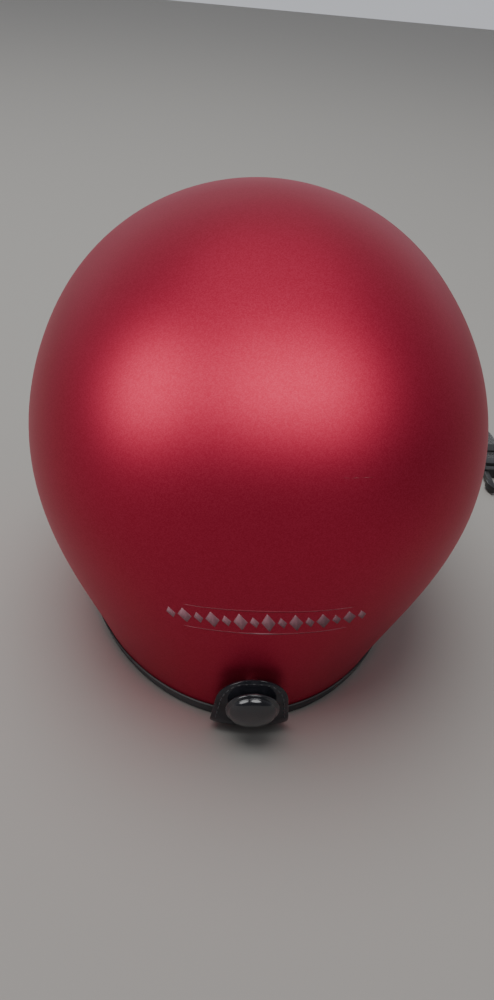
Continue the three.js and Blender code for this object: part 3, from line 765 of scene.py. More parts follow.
def keeper_half_width(share):
    if share < FOOT_SHARE:
        return FOOT_HALF
    along = (share - FOOT_SHARE) / (1 - FOOT_SHARE)
    tip = max(0, (along - 0.58) / 0.42) ** 2.3
    widen = min(1, along / 0.1)
    return (FOOT_HALF + (TAB_HALF - TAB_TAPER * along - FOOT_HALF) * widen) * sqrt(max(0.03, 1 - 0.96 * tip))


def boxy(value, power):
    """A sine or cosine raised to a power that keeps its sign, to square a round section off."""
    return copysign(abs(value) ** power, value)


keeper_rings, keeper_rows = [], []
for i, point in enumerate(keeper_line):
    share = i / (KEEPER_STEPS - 1)
    slope = (keeper_line[min(i + 1, KEEPER_STEPS - 1)] - keeper_line[max(i - 1, 0)]).normalized()
    half, thick = keeper_half_width(share), 0.75 + 0.3 * min(1, share / 0.4)
    edge = min(1, 0.35 + 14 * share, 0.35 + 14 * (1 - share))
    keeper_rows.append((point, slope, half, thick * edge))
    ring = []
    for k in range(44):
        turn = 2 * pi * k / 44
        wide = boxy(cos(turn), 0.3) * half
        deep = boxy(sin(turn), 0.55) * thick * edge
        sag = 0.4 * (wide / 17) ** 2 * min(1, max(0, share - FOOT_SHARE) * 4)
        ring.append(on_back(wide, point.y - sag + deep * slope.z, point.z - deep * slope.y))
    keeper_rings.append(ring)

patent, shader = new_material("patent_leatherette", 0.2, Coat_Weight=0.12, Coat_Roughness=0.08,
                              Specular_IOR_Level=0.35)
place = object_coordinates(patent)
creases = noise(patent, place, 170.0, 3.0)
tone = two_colours(patent, creases, (0.006, 0.006, 0.008), (0.014, 0.014, 0.018))
link(patent, tone, shader, "Base Color")
link(patent, between(patent, creases, 0.08, 0.24), shader, "Roughness")
set_bump(patent, shader, creases, 0.00015, 0.5)
FOLD_START, FOLD_END = (0, on_back(0, 5.0, 4).y, 0.005), (0, on_back(0, 6.6, 4).y, 0.005)


def leaf(piece):
    """The strip bends at its fold, from the shell to the tab."""
    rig.blend(piece, "helmet", "keeper", start=FOLD_START, end=FOLD_END)
    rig.slot(piece, "patent")
    return piece


strip = loft("keeper_strip", keeper_rings, patent)
smooth_faces(strip, 60)
leaf(strip)
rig.replaces(strip, "keeper_tab", "keeper_foot")


def stitches(name, path, outs, material, length=2.2, gap=1.2, radius=0.27):
    """Short rounded stitches along points in the row frame, each bowed into the cloth at its ends."""
    total = sum((b - a).length for a, b in zip(path, path[1:])) * 1000
    count = max(1, round(total / (length + gap)))
    fine, facing = evenly_spaced(path, count * 8 + 1), evenly_spaced(outs, count * 8 + 1)
    made = []
    for i in range(count):
        start, end, out = fine[i * 8 + 1], fine[i * 8 + 6], facing[i * 8 + 3].normalized()
        side = (end - start).cross(out).normalized()
        rings = []
        for share in (0, 0.15, 0.5, 0.85, 1):
            bow = 4 * share * (1 - share)
            centre = start.lerp(end, share) + out * (bow - 0.35) * radius / 1000 * 1.2
            size = radius / 1000 * (0.45 + 0.55 * bow**0.5)
            rings.append(hoop(centre, side, out, size, 6))
        made.append(loft("stitch", rings, material))
    return joined(name, made)


black_thread = speckled("black_thread", (0.018, 0.018, 0.020), (0.045, 0.045, 0.048), 0.7, 2600.0, 0.00006)
seam, seam_out = [], []
for point, slope, half, thick in keeper_rows[36:84]:
    if half > 7:
        seam.append(on_back(half - 2.2, point.y + (thick - 0.3) * slope.z, point.z - thick * slope.y))
        seam_out.append(on_back(half - 2.2, point.y + 3, point.z) - on_back(half - 2.2, point.y, point.z))
mirrored = [Vector((-p.x, p.y, p.z)) for p in reversed(seam)]
bow = [seam[-1].lerp(mirrored[0], k / 8) + Vector((0, 0, 0.0014 * sin(pi * k / 8))) for k in range(1, 8)]
outs = seam_out + [seam_out[-1]] * 7 + [Vector((-p.x, p.y, p.z)) for p in reversed(seam_out)]
leaf(stitches("keeper_stitching", seam + bow + mirrored, outs, black_thread))


def turned(name, profile, material, azimuth, height, bevel=0.25, steps=56):
    """A part spun round its own axis from (radius, height) points, and stood on the skin."""
    mesh = bpy.data.meshes.new(name)
    count = len(profile)
    points = [(radius / 1000, 0, along / 1000) for radius, along in profile]
    mesh.from_pydata(points, [(i, i + 1) for i in range(count - 1)], [])
    mesh.materials.append(material)
    piece = bpy.data.objects.new(name, mesh)
    bpy.context.scene.collection.objects.link(piece)
    pick(piece)
    bpy.ops.object.mode_set(mode="EDIT")
    bpy.ops.mesh.select_all(action="SELECT")
    bpy.ops.mesh.spin(steps=steps, angle=2 * pi, center=(0, 0, 0), axis=(0, 0, 1))
    bpy.ops.mesh.select_all(action="SELECT")
    bpy.ops.mesh.remove_doubles(threshold=1e-6)
    bpy.ops.mesh.normals_make_consistent(inside=False)
    bpy.ops.object.mode_set(mode="OBJECT")
    out = skin_normal(azimuth, level_of(height))
    turn = Vector((0, 0, 1)).rotation_difference(out).to_matrix().to_4x4()
    soften(piece, bevel)
    piece.data.transform(Matrix.Translation(row(skin_point(azimuth, level_of(height)))) @ turn)
    smooth_faces(piece, 40)
    return piece


def soften(piece, width, angle=28):
    """Rounds a piece's sharp edges, by a width in millimetres."""
    modify(piece, "BEVEL", width=width / 1000, segments=3, limit_method="ANGLE",
           angle_limit=radians(angle), harden_normals=False)


CAP_PROFILE = [
    (0, 6.6), (4.8, 6.6), (4.8, 3.6), (5.8, 3.6), (5.8, 10.6), (11.4, 10.8), (12.3, 11.0), (12.6, 11.6),
    (12.4, 12.3), (11.7, 12.7), (11.2, 13.2), (11.1, 13.7), (10.4, 14.7), (9.2, 15.5),
    (7.4, 16.3), (5.0, 16.9), (2.6, 17.15), (0, 17.2),
]
STUD_HOLD, RIVET_HOLD = 25, 10.8
cap_gloss = speckled("glossy_black_cap", (0.007, 0.007, 0.009), (0.015, 0.015, 0.018), 0.16, 300.0, 0.00003,
                     Coat_Weight=0.6, Coat_Roughness=0.06)
snap_cap = turned("keeper_snap_cap", CAP_PROFILE, cap_gloss, pi, STUD_HOLD, 0.12, 72)
fixed(snap_cap, "keeper", "patent", "keeper_cap")

nickel = speckled("nickel_plate", (0.52, 0.51, 0.49), (0.66, 0.65, 0.64), 0.26, 700.0, 0.00003, 1.0)
TALL_STUD = [
    (0, -3.2), (2.2, -3.2), (2.2, 0.3), (4.8, 0.3), (4.8, 1.1), (2.5, 2.2), (2.5, 3.5),
    (3.3, 4.1), (3.2, 4.7), (2.8, 5.1), (0, 5.3),
]
STUD_BACK = [(0, -6.1), (4.4, -5.9), (5.3, -5.5), (5.6, -5.1), (5.6, -4.3), (0, -4.3)]
KEEPER_RIVET = [
    (0, -5.8), (3.4, -5.6), (3.4, -4.0), (2.2, -4.0), (2.2, 3.2), (3, 3.2), (2.9, 3.8), (2.2, 4.3), (0, 4.5),
]
fixed(turned("keeper_press_stud", TALL_STUD, nickel, pi, STUD_HOLD), "helmet", "steel", "keeper_stud")
fixed(turned("keeper_stud_washer", STUD_BACK, nickel, pi, STUD_HOLD), "helmet", "steel", "keeper_stud_back")
fixed(turned("keeper_foot_rivet", KEEPER_RIVET, nickel, pi, RIVET_HOLD), "helmet", "steel", "keeper_rivet")


# ---- Foam liner ---------------------------------------------------------------------------------------
# Expanded bead foam, moulded to the shell. Its beads show as rounded cells with fine dark joints. It is
# cut back round the face and at the ears.
def foam_depth(azimuth, height):
    low = min(1, max(0, (120 - height) / 50))
    return 24 - 7 * sin(azimuth) ** 2 * low * low * (3 - 2 * low)


def sector(start, end, low, high, near, far):
    """A cutting block of azimuth, height and distance from the axis."""
    rings = []
    for i in range(25):
        azimuth = radians(start + (end - start) * i / 24)
        corners = ((near, low), (far, low), (far, high), (near, high))
        rings.append([in_row(r * sin(azimuth), -r * cos(azimuth), h) for r, h in corners])
    return loft("sector", rings, edge_rubber)


foam = egg("bead_foam_liner", lambda azimuth, height: SHELL_WALL + 0.6, 128, 64)
cut_away(foam, egg("foam_hollow", foam_depth, 128, 64))
cut_away(foam, opening_cutter(9))
cut_away(foam, block((-300, -300, -80), (300, 300, 36)))
for side in (-1, 1):
    cut_away(foam, sector(side * 40, side * 122, -24, 64, 30, 300))
PEAK_STUDS = {"left": radians(30), "centre": 0.0, "right": radians(-30)}
PEAK_STUD_HEIGHT = 156
for azimuth in PEAK_STUDS.values():
    recess = [(0, -9), (7.5, -9), (7.5, 4), (0, 4)]
    cut_away(foam, turned("recess", recess, edge_rubber, azimuth, PEAK_STUD_HEIGHT, 0.01, 32))
smooth_faces(foam, 30)
bead_foam, shader = new_material("bead_foam", 0.85)
place = object_coordinates(bead_foam)
beads = add_node(bead_foam, "TexVoronoi", {"Vector": place, "Scale": 310.0}, feature="DISTANCE_TO_EDGE")
tones = add_node(bead_foam, "TexVoronoi", {"Vector": place, "Scale": 310.0})
bead_tone = add_node(bead_foam, "SeparateColor", {"Color": tones.outputs["Color"]}).outputs["Red"]
bead_colour = two_colours(bead_foam, bead_tone, (0.024, 0.024, 0.026), (0.052, 0.052, 0.056), 0, 1)
link(bead_foam, bead_colour, shader, "Base Color")
dome = add_node(bead_foam, "MapRange", {"Value": beads.outputs["Distance"], "From Max": 0.35})
set_bump(bead_foam, shader, dome.outputs["Result"], 0.0005, 0.8)
foam.data.materials.clear()
foam.data.materials.append(bead_foam)
fixed(foam, "helmet", "foam", "foam_liner")


# ---- Brow binding -------------------------------------------------------------------------------------
# A folded band of grained leatherette that closes the joint between the shell and the foam over the
# brow. It is gathered a little, and stitched along its middle.
def leather(name, dark, light, roughness):
    """Grained synthetic leather: small cells, broad gloss changes and fine pores."""
    material, shader = new_material(name, roughness, Sheen_Weight=0.05)
    place = object_coordinates(material)
    cells = add_node(material, "TexVoronoi", {"Vector": place, "Scale": 520.0}, feature="DISTANCE_TO_EDGE")
    grain = add_node(material, "MapRange", {"Value": cells.outputs["Distance"], "From Max": 0.3})
    broad = noise(material, place, 45.0, 4.0)
    link(material, two_colours(material, broad, dark, light, 0.35, 0.7), shader, "Base Color")
    gloss = between(material, broad, roughness - 0.12, roughness + 0.12)
    link(material, gloss, shader, "Roughness")
    set_bump(material, shader, grain.outputs["Result"], 0.00035, 0.7)
    return material


black_leather = leather("black_leatherette", (0.012, 0.012, 0.014), (0.026, 0.026, 0.028), 0.46)
binding_rings, binding_mid, binding_out = [], [], []
span = evenly_spaced(arch_outline, 401)
for i in range(116, 285):
    along = (span[i + 1] - span[i - 1]).normalized()
    inward = Vector((-along.y, along.x, 0))
    share = (i - 116) / 168
    ends = min(1, 0.4 + 30 * share, 0.4 + 30 * (1 - share))
    ring = []
    for k in range(32):
        turn = 2 * pi * k / 32
        pucker = 0.1 * sin(share * 260) * (0.5 + 0.5 * sin(turn))
        margin = 6.4 + (boxy(cos(turn), 0.7) * 0.95 + pucker) * ends
        depth = 17.6 + boxy(sin(turn), 0.4) * 12.0 * ends
        at = span[i] + inward * margin
        azimuth = at.x / OUTLINE_RADIUS
        skin = skin_point(azimuth, level_of(at.y))
        reach = Vector((skin.x, skin.y, 0)).length - depth
        ring.append(in_row(reach * sin(azimuth), -reach * cos(azimuth), at.y))
    binding_rings.append(ring)
    binding_mid.append(ring[16])
    binding_out.append(ring[16] - ring[0])
binding = loft("brow_leather_binding", binding_rings, black_leather)
fixed(binding, "helmet", "leatherette", "brow_binding")
binding_seam = stitches("brow_binding_stitching", binding_mid[3:-3], binding_out[3:-3], black_thread)
fixed(binding_seam, "helmet", "leatherette")


# ---- Comfort pads -------------------------------------------------------------------------------------
# Soft foam in a cover that is sewn round its edge with piping and quilted in channels. The backs lie
# against the bead foam, held there by hook patches, and the fronts swell towards the head.
knit, shader = new_material("brushed_knit", 0.92, Sheen_Weight=0.45, Sheen_Roughness=0.5)
place = object_coordinates(knit)
loops = add_node(knit, "TexVoronoi", {"Vector": place, "Scale": 1250.0, "Randomness": 0.35})
fuzz = noise(knit, place, 900.0, 6.0)
worn = noise(knit, place, 26.0, 4.0)
mixed = add_node(knit, "Math", {0: fuzz, 1: worn}, operation="MULTIPLY")
yarn = two_colours(knit, mixed.outputs["Value"], (0.016, 0.016, 0.018), (0.055, 0.055, 0.060), 0.12, 0.42)
link(knit, yarn, shader, "Base Color")
height = add_node(knit, "Math", {0: loops.outputs["Distance"], 1: fuzz}, operation="ADD")
set_bump(knit, shader, height.outputs["Value"], 0.0004, 0.7)


HEAD_CENTRE = (0, 0, 100)
SWELL_CAP, CHANNEL_DEPTH, CHANNEL_WIDTH = 0.004, 0.0017, 0.0024


def pad_block(name, place_at, cells):
    """A closed slab from place_at(across, upward, depth), across and upward from -1 to 1, depth 0 to 1."""
    edit = bmesh.new()
    bmesh.ops.create_cube(edit, size=2)
    for axis, count in enumerate(cells):
        for i in range(1, count):
            normal, at = Vector((0, 0, 0)), Vector((0, 0, 0))
            normal[axis], at[axis] = 1, -1 + 2 * i / count
            everything = edit.verts[:] + edit.edges[:] + edit.faces[:]
            bmesh.ops.bisect_plane(edit, geom=everything, plane_co=at, plane_no=normal)
    for vertex in edit.verts:
        x, y, z = vertex.co
        round_x, round_y = x * sqrt(1 - 0.3 * y**4), y * sqrt(1 - 0.3 * x**4)
        vertex.co = place_at(round_x, round_y, (z + 1) / 2)
    mesh = bpy.data.meshes.new(name)
    edit.to_mesh(mesh)
    edit.free()
    piece = bpy.data.objects.new(name, mesh)
    bpy.context.scene.collection.objects.link(piece)
    outward_normals(piece)
    return piece


def swell(piece):
    """Remeshes a pad and swells it as cloth, with its back held, and caps how far a point may move."""
    modify(piece, "REMESH", mode="VOXEL", voxel_size=0.004)
    rest = [v.co.copy() for v in piece.data.vertices]
    centre = in_row(*HEAD_CENTRE)
    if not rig.quick():
        held = piece.vertex_groups.new(name="held")
        backs = [v for v in piece.data.vertices if v.normal.dot((v.co - centre).normalized()) > 0.25]
        held.add([v.index for v in backs], 1, "ADD")
        cloth = piece.modifiers.new("cloth", "CLOTH")
        cloth.settings.use_pressure, cloth.settings.uniform_pressure_force = True, 4.0
        cloth.settings.effector_weights.gravity = 0
        cloth.settings.vertex_group_mass = "held"
        cloth.settings.tension_stiffness = cloth.settings.compression_stiffness = 20
        cloth.point_cache.frame_end = 20
        for step in range(1, 21):
            bpy.context.scene.frame_set(step)
        bpy.ops.object.modifier_apply(modifier=cloth.name)
        bpy.context.scene.frame_set(1)
        for vertex, before in zip(piece.data.vertices, rest):
            moved = vertex.co - before
            if moved.length > SWELL_CAP:
                vertex.co = before + moved * (SWELL_CAP / moved.length)
    modify(piece, "SMOOTH", factor=0.5, iterations=4)
    modify(piece, "SUBSURF", levels=1, render_levels=1)


def sew_channels(piece, lines):
    """Presses sewn channels into a pad's front. Each line is a list of row-frame points over it."""
    centre = in_row(*HEAD_CENTRE)
    tree = BVHTree.FromObject(piece, bpy.context.evaluated_depsgraph_get())
    sewn = []
    for line in lines:
        hits, outs = [], []
        for point in line:
            out = (point - centre).normalized()
            hit, normal, _, _ = tree.ray_cast(centre, out)
            if hit is not None and normal.dot(out) < -0.3:
                hits.append(hit)
                outs.append(-out)
        sewn.append((hits, outs))
    marks = kdtree.KDTree(sum(len(hits) for hits, _ in sewn))
    for i, hit in enumerate(h for hits, _ in sewn for h in hits):
        marks.insert(hit, i)
    marks.balance()
    for vertex in piece.data.vertices:
        out = (vertex.co - centre).normalized()
        if vertex.normal.dot(out) < 0.1:
            _, _, distance = marks.find(vertex.co)
            vertex.co += out * CHANNEL_DEPTH * exp(-((distance / CHANNEL_WIDTH) ** 2))
    pressed = CHANNEL_DEPTH * 0.9
    return [([h - o * pressed for h, o in zip(hits, outs)], outs) for hits, outs in sewn if len(hits) > 3]


def piping(name, place_at, depth_share, radius, material):
    """A thin piped cord sewn round a pad's edge."""
    line = []
    for k in range(160):
        turn = 2 * pi * k / 160
        x = boxy(cos(turn), 0.42)
        y = boxy(sin(turn), 0.42)
        line.append(place_at(x * sqrt(1 - 0.3 * y**4), y * sqrt(1 - 0.3 * x**4), depth_share))
    centre = sum(line, Vector()) / len(line)
    rings = []
    for before, point, after in zip([line[-1], *line], line, [*line[1:], line[0]]):
        along = (after - before).normalized()
        side = (point - centre).cross(along).normalized()
        up = along.cross(side)
        rings.append(hoop(point, side, up, radius / 1000, 10))
    return loft(name, rings, material, closed=True)


def comfort_pad(node, place_at, material, slot, lines, cells, fill=0.6):
    """One pad with its cover swollen, its channels sewn and stitched, and its piping."""
    piece = pad_block(f"{node}_cover", place_at, cells)
    swell(piece)
    piece.data.materials.clear()
    piece.data.materials.append(material)
    sewn = sew_channels(piece, lines)
    outward_normals(piece)
    piece.data.polygons.foreach_set("use_smooth", [True] * len(piece.data.polygons))
    fixed(piece, "helmet", slot, node)
    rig.padded(piece, fill=fill)
    rows = [stitches("row", path, outs, black_thread) for path, outs in sewn]
    if rows:
        fixed(joined(f"{node}_stitching", rows), "helmet", slot)
    fixed(piping(f"{node}_piping", place_at, 0.3, 0.9, black_leather), "helmet", slot)


FOAM_GAP = 1.3


def pad_place(start, end, low, high, thick, crown, back_at=None):
    """Where a pad between two azimuths and two heights puts each of its points."""
    def place_at(across, upward, depth):
        azimuth = radians((start + end) / 2 + (end - start) / 2 * across * 0.97)
        height = (low + high) / 2 + (high - low) / 2 * upward * 0.95
        back = back_at(azimuth, height) if back_at else foam_depth(azimuth, height) + FOAM_GAP
        middle = (1 - across**4) * (1 - upward**4)
        front = thick - 1.6 - crown * (1 - middle)
        return row(inside(azimuth, height, back + front * depth))
    return place_at


def upright_lines(azimuths, low, high):
    return [[row(inside(radians(a), low + (high - low) * i / 40, 30)) for i in range(41)] for a in azimuths]


def level_lines(heights, start, end):
    return [[row(inside(radians(start + (end - start) * i / 60), h, 30)) for i in range(61)] for h in heights]


comfort_pad("brow_pad", pad_place(-52, 52, 150, 169, 9, 4), knit, "lining",
            upright_lines(range(-39, 40, 13), 151, 168), cells=(52, 8, 4))
comfort_pad("rear_pad", pad_place(130, 230, 84, 152, 9, 4), knit, "lining",
            upright_lines((145, 162.5, 180, 197.5, 215), 88, 148), cells=(48, 22, 4))
comfort_pad("neck_roll", pad_place(122, 238, 38, 80, 12, 6), black_leather, "leatherette",
            level_lines((59,), 126, 234) + upright_lines((151, 180, 209), 41, 77),
            cells=(56, 14, 4), fill=0.8)


def behind_ear(azimuth, height):
    onto = min(1, max(0, (height - 38) / 19))
    onto = onto * onto * (3 - 2 * onto)
    return 10.9 * (1 - onto) + (foam_depth(azimuth, height) + FOAM_GAP) * onto


for side, sign in (("left", 1), ("right", -1)):
    comfort_pad(f"temple_pad_{side}", pad_place(sign * 76, sign * 126, 104, 152, 9, 3), knit, "lining",
                upright_lines((sign * 92, sign * 109), 107, 149), cells=(26, 16, 4))
    oval = []
    for i in range(72):
        turn = 2 * pi * i / 71
        azimuth, high = radians(sign * (97 + 11 * cos(turn))), 57 + 25 * sin(turn)
        oval.append(row(inside(azimuth, high, 30)))
    ear_place = pad_place(sign * 76, sign * 118, 17, 99, 16, 7, behind_ear)
    comfort_pad(f"ear_pad_{side}", ear_place, knit, "lining",
                [oval], cells=(22, 26, 6), fill=0.7)


CROWN_PAD_EDGE = 195.2


def crown_place(across, upward, depth):
    """A round pad against the top of the foam, from a square pressed into a circle."""
    x, y = across * sqrt(1 - upward * upward / 2), upward * sqrt(1 - across * across / 2)
    azimuth, out = atan2(x, -y), min(1, sqrt(x * x + y * y)) * 0.985
    depth_here = 25.3 + 6.3 * depth * (1 - 0.75 * out**5)
    level = 1 - out * (1 - level_of(CROWN_PAD_EDGE))
    skin = skin_point(azimuth, min(level, 0.9995))
    point = skin - skin_normal(azimuth, min(level, 0.998)) * depth_here
    point.z = max(point.z, 172.6)
    return row(point)


ring_line = [in_row(34 * sin(2 * pi * i / 90), -34 * cos(2 * pi * i / 90) + 1, 192) for i in range(91)]
spokes = []
for k in range(6):
    turn = pi / 6 + pi * k / 3
    spokes.append([in_row(r * sin(turn), -r * cos(turn) + 1, 192) for r in (34 + 1.2 * i for i in range(36))])
comfort_pad("crown_pad", crown_place, knit, "lining", [ring_line, *spokes], cells=(44, 44, 3))


# ---- Peak and its press studs -------------------------------------------------------------------------
# A moulded black plastic peak with a rolled brim. Three snap sockets under domed caps press on to
# studs that are riveted through the shell's brow.
def smooth_bezier(a, b, c, d, t):
    return a * (1 - t) ** 3 + b * 3 * t * (1 - t) ** 2 + c * 3 * t * t * (1 - t) + d * t**3


PEAK_SPREAD, PEAK_FOOT, PEAK_TOP, PEAK_GAP = radians(54), 149, 166, 2.4


def peak_point(across, along):
    """Across runs -1 to 1 over the peak's width, along 0 to 1 from its top edge to its brim."""
    azimuth, flange = PEAK_SPREAD * across, 0.3
    corner = 1 - min(1, abs(across)) ** 2.6
    top = PEAK_FOOT + (PEAK_TOP - PEAK_FOOT) * (0.25 + 0.75 * corner)
    if along <= flange:
        return under(azimuth, top + (PEAK_FOOT - top) * along / flange, -PEAK_GAP)
    foot = under(azimuth, PEAK_FOOT, -PEAK_GAP)
    down = (under(azimuth, PEAK_FOOT - 4, -PEAK_GAP) - foot).normalized()
    forwards = Vector((sin(azimuth) * 0.45, -1, 0)).normalized()
    reach = 4 + 54 * corner
    brim = foot + forwards * reach + Vector((0, 0, -16 + 5 * corner))
    bend = foot + down * (4 + 6 * corner)
    lead = brim - forwards * 0.5 * reach + Vector((0, 0, 2.5 * corner))
    return smooth_bezier(foot, bend, lead, brim, (along - flange) / (1 - flange))


def peak_out(across, along):
    step = 1e-3
    sideways = peak_point(across + step, along) - peak_point(across - step, along)
    lengthways = peak_point(across, min(1, along + step)) - peak_point(across, max(0, along - step))
    return -sideways.cross(lengthways).normalized()


peak_rings = []
ALONG = [0, 0.0015, 0.005, *[0.012 + 0.976 * i / 66 for i in range(67)], 0.995, 0.9985, 1]
ROUNDING = {0: 0.25, 1: 0.65, 2: 0.92, len(ALONG) - 3: 0.92, len(ALONG) - 2: 0.65, len(ALONG) - 1: 0.25}
for i, along in enumerate(ALONG):
    size, ring = ROUNDING.get(i, 1), []
    for face in (1, -1):
        for k in range(97):
            across = -cos(pi * k / 96) * face
            lip = 0.25 * max(0, (along - 0.93) / 0.07) ** 2 if along > 0.93 else 0
            half = (1.2 - lip) * size * min(1, sqrt(max(0, 1 - abs(across) ** 40)) + 0.02)
            point = peak_point(across * 0.9985, along) + peak_out(across * 0.99, along) * (1.2 + face * half)
            ring.append(row(point))
    peak_rings.append(ring[:96] + ring[97:193])
satin_tones = (0.014, 0.014, 0.015), (0.026, 0.026, 0.028)
satin_plastic = speckled("satin_black_plastic", *satin_tones, 0.38, 1400.0, 0.0001)
peak = loft("peak_moulding", peak_rings, satin_plastic)
for azimuth in PEAK_STUDS.values():
    hole = [(0, -4), (5.6, -4), (5.6, 12), (0, 12)]
    cut_away(peak, turned("hole", hole, satin_plastic, azimuth, PEAK_STUD_HEIGHT, 0.01, 48))
smooth_faces(peak, 45)
fixed(peak, "peak", "peak_plastic", "peak")


def bead(name, line, radius, material):
    """A rounded bead along points in the row frame, with tapered ends."""
    rings = []
    for i, point in enumerate(line):
        along = (line[min(i + 1, len(line) - 1)] - line[max(i - 1, 0)]).normalized()
        side = along.cross(Vector((0, 0, 1))).normalized()
        lift = side.cross(along)
        share = i / (len(line) - 1)
        size = radius / 1000 * sqrt(max(0.05, 1 - (2 * share - 1) ** 24))
        rings.append(hoop(point, side, lift, size, 14))
    return loft(name, rings, material)


brim = []
for i in range(121):
    across = -0.985 + 1.97 * i / 120
    brim.append(row(peak_point(across, 0.994) + peak_out(across, 0.99) * 1.2))
fixed(bead("peak_brim_bead", brim, 1.7, satin_plastic), "peak", "peak_plastic")

STUD = [
    (0, -3.2), (2.2, -3.2), (2.2, 0.3), (4.8, 0.3), (4.8, 1.1), (2.5, 1.6), (2.5, 2.6),
    (3.3, 3.2), (3.2, 3.8), (2.8, 4.2), (0, 4.4),
]
SNAP_CAP = [
    (0, 5.3), (4.5, 5.3), (4.5, 3), (5.2, 3), (5.2, 5.2), (7.9, 5.2), (8, 5.5), (7.8, 6.0),
    (6.8, 6.3), (6.5, 6.9), (5.2, 7.6), (3.6, 8), (1.8, 8.16), (0, 8.2),
]
for place_name, azimuth in PEAK_STUDS.items():
    stud = turned(f"peak_press_stud_{place_name}", STUD, nickel, azimuth, PEAK_STUD_HEIGHT)
    fixed(stud, "helmet", "steel", f"peak_stud_{place_name}")
    washer = turned(f"peak_stud_washer_{place_name}", STUD_BACK, nickel, azimuth, PEAK_STUD_HEIGHT)
    fixed(washer, "helmet", "steel", f"peak_stud_back_{place_name}")
    cap = turned(f"peak_snap_cap_{place_name}", SNAP_CAP, cap_gloss, azimuth, PEAK_STUD_HEIGHT, 0.12)
    fixed(cap, "peak", "peak_plastic", f"peak_snap_{place_name}")


# ---- Strap anchors ------------------------------------------------------------------------------------
# A domed black rivet goes through the shell below each ear and holds a pressed steel plate inside, to
# which the webbing is sewn.
ANCHOR_AZIMUTH, ANCHOR_HEIGHT = radians(84), 46
ANCHOR_RIVET = [
    (0, -7.6), (4.2, -7.4), (4.2, -6.1), (2.6, -6.1), (2.6, 0.3), (6.9, 0.3), (7.0, 0.7),
    (6.5, 1.4), (5.4, 1.9), (4, 2.4), (2, 2.7), (0, 2.8),
]


def rounded_copy(name, material, width, *nodes):
    """A new piece from the shape of CAD nodes, with its flat faces made whole and its edges rounded."""
    made = []
    for node in nodes:
        piece = bpy.data.objects.new(name, frame["nodes"][node].data.copy())
        bpy.context.scene.collection.objects.link(piece)
        edit = bmesh.new()
        edit.from_mesh(piece.data)
        bmesh.ops.remove_doubles(edit, verts=edit.verts, dist=2e-5)
        bmesh.ops.dissolve_limit(edit, angle_limit=radians(1.5), verts=edit.verts, edges=edit.edges)
        edit.to_mesh(piece.data)
        edit.free()
        piece.data.materials.clear()
        piece.data.materials.append(material)
        made.append(piece)
    piece = joined(name, made)
    soften(piece, width, 35)
    smooth_faces(piece, 40)
    return piece


for side, sign in (("left", 1), ("right", -1)):
    rivet = turned(f"strap_rivet_{side}", ANCHOR_RIVET, cap_gloss, sign * ANCHOR_AZIMUTH, ANCHOR_HEIGHT, 0.15)
    fixed(rivet, "helmet", "peak_plastic", f"anchor_rivet_{side}")
    plate = rounded_copy(f"strap_plate_{side}", nickel, 0.35, f"anchor_plate_{side}")
    fixed(plate, "helmet", "steel", f"anchor_plate_{side}")


# ---- Buckle, sleeve and strap loop ----------------------------------------------------------------------
# A side-release buckle in moulded black plastic: a plug with two springy prongs on the right strap, and
# a socket on the left one. A padded sleeve lies under the chin, and a rubber loop keeps the loose end.
plug = rounded_copy("buckle_plug_moulding", satin_plastic, 0.55, "buckle_plug")
socket = rounded_copy("buckle_socket_moulding", satin_plastic, 0.6, "buckle_socket")
fixed(plug, "helmet", "peak_plastic", "buckle_plug")
fixed(socket, "helmet", "peak_plastic", "buckle_socket")
prongs = []
for side in ("left", "right"):
    prong = rounded_copy(f"buckle_prong_moulding_{side}", satin_plastic, 0.4, f"buckle_prong_{side}")
    prongs.append(fixed(prong, f"prong_{side}", "peak_plastic", f"buckle_prong_{side}"))
loop = rounded_copy("rubber_strap_loop", edge_rubber, 0.45, "strap_loop")
fixed(loop, "strap_loop", "rubber", "strap_loop")

socket_low, socket_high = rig.box("buckle_socket")
ribs = []
for step in range(4):
    x = socket_high.x - 0.0125 - 0.0024 * step
    half = 0.0075 - 0.0008 * step
    middle_y = (socket_low.y + socket_high.y) / 2
    line = [Vector((x, middle_y - half + 2 * half * i / 16, socket_high.z + 0.0001)) for i in range(17)]
    ribs.append(bead("rib", line, 0.75, satin_plastic))
fixed(joined("buckle_socket_ribs", ribs), "helmet", "peak_plastic")

tacks = []
for side, route in STRAP_ROUTES.items():
    frames = band_frames(route, 150)
    for i in (9, 11, 13, 138, 140, 142):
        point, across, face = frames[i]
        for lift in (1, -1):
            surface = point + face * (STRAP_THICK / 2 * lift)
            path = [surface + across * STRAP_WIDTH * (share / 10 - 0.5) * 0.84 for share in range(11)]
            tacks.append(stitches("tack", path, [face * lift] * 11, black_thread, 1.6, 0.35, 0.3))
fixed(joined("webbing_bar_tacks", tacks), "helmet", "webbing")

SLEEVE_FROM, SLEEVE_TO = 0.475, 0.835
SLEEVE_HALF_WIDTH, SLEEVE_HALF_THICK = 0.0146, 0.0043
left_frames = band_frames(STRAP_ROUTES["left"], 400)
sleeve_frames = left_frames[int(SLEEVE_FROM * 400) : int(SLEEVE_TO * 400)]
sleeve_rings, hem, hem_out = [], [], []
for i, (point, across, face) in enumerate(sleeve_frames):
    share = i / (len(sleeve_frames) - 1)
    ends = min(1, sqrt(min(share, 1 - share) * 14) + 0.25)
    channel = 1 - 0.2 * exp(-(((share * 5) % 1 - 0.5) / 0.11) ** 2)
    ring = []
    for k in range(40):
        turn = 2 * pi * k / 40
        wide = boxy(cos(turn), 0.75) * SLEEVE_HALF_WIDTH * (0.82 + 0.18 * ends)
        deep = boxy(sin(turn), 0.8) * SLEEVE_HALF_THICK * ends * channel
        ring.append(point + across * wide + face * deep)
    sleeve_rings.append(ring)
    if 0.04 < share < 0.96:
        hem.append(ring[3])
        hem_out.append(ring[3] - point)
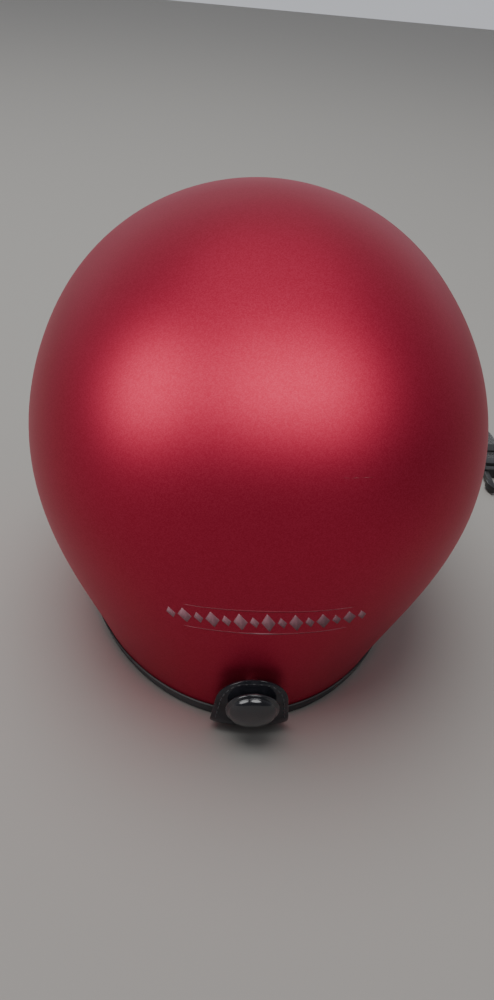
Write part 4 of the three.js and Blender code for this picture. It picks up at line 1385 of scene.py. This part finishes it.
sleeve = loft("chin_sleeve", sleeve_rings, knit)
fixed(sleeve, "helmet", "lining", "chin_pad")
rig.padded(sleeve, fill=0.5)
hem_rows = stitches("chin_sleeve_stitching", hem, hem_out, black_thread)
fixed(hem_rows, "helmet", "lining")

on_straps = {"right": [plug, *prongs, loop], "left": [socket, sleeve, hem_rows]}
for side, pieces in on_straps.items():
    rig.cord(straps[side], exit=strap_lines[side][0], length=STRAP_LENGTHS[side], diameter=STRAP_WIDTH,
            far_end="connector", stiffness="limp", lay="loose", path=strap_lines[side], with_pieces=pieces)


# ---- Floor and light --------------------------------------------------------------------------------
# A pale matt floor, two soft panels behind the helmet, a weaker one overhead and one for its dark parts
# in front, one for the floor alone, and a dim room that is lighter in front of the helmet than behind.
bpy.ops.mesh.primitive_plane_add(size=6, location=(0, 0, 0))
floor = bpy.context.object
floor.name = "floor"
floor_finish, shader = new_material("pale_floor", 0.8)
shader.inputs["Base Color"].default_value = (0.56, 0.54, 0.50, 1)
floor.data.materials.append(floor_finish)
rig.stage(floor)


def soft_panel(name, location, size, power, aim, lit):
    """A soft light that is screened off from all but the given pieces."""
    bpy.ops.object.light_add(type="AREA", location=location)
    light = bpy.context.object
    light.name = name
    light.data.shape, light.data.size, light.data.energy = "DISK", size, power
    light.rotation_euler = (Vector(aim) - Vector(location)).to_track_quat("-Z", "Y").to_euler()
    screened = bpy.data.collections.new(f"lit_by_{name}")
    for piece in lit:
        screened.objects.link(piece)
    light.light_linking.receiver_collection = screened


helmet_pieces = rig.pieces()
soft_panel("panel_left", (1.00, 0.74, 0.98), 1.12, 13.5, (0.05, 0.1, 0.17), helmet_pieces)
soft_panel("panel_right", (-0.27, 1.0, 1.24), 1.12, 14.6, (-0.01, 0.1, 0.17), helmet_pieces)
soft_panel("overhead_panel", (0.05, -0.12, 1.5), 1.3, 3.2, (0, 0, 0.2), helmet_pieces)
soft_panel("floor_panel", (0.3, -0.2, 1.9), 1.6, 18.5, (0.1, 0.1, 0), [floor])
not_lacquered = [piece for piece in helmet_pieces if piece != shell]
soft_panel("front_panel", (0.6, -1.3, 0.9), 0.9, 16, (0, -0.05, 0.1), not_lacquered)
world = bpy.data.worlds.new("studio")
bpy.context.scene.world = world
world.use_nodes = True
room = world.node_tree
direction = room.nodes.new("ShaderNodeTexCoord")
split = room.nodes.new("ShaderNodeSeparateXYZ")
lightness = room.nodes.new("ShaderNodeMapRange")
room.links.new(direction.outputs["Generated"], split.inputs["Vector"])
room.links.new(split.outputs["Y"], lightness.inputs["Value"])
lightness.inputs["From Min"].default_value, lightness.inputs["From Max"].default_value = -0.8, 0.5
lightness.inputs["To Min"].default_value, lightness.inputs["To Max"].default_value = 0.64, 0.07
room.links.new(lightness.outputs["Result"], room.nodes["Background"].inputs["Strength"])
room.nodes["Background"].inputs["Color"].default_value = (0.84, 0.86, 0.92, 1)

low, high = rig.bounds()
with open("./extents.json", "w") as sizes:
    json.dump({"cad": [list(cad_low), list(cad_high)], "visual": [list(low), list(high)]}, sizes)
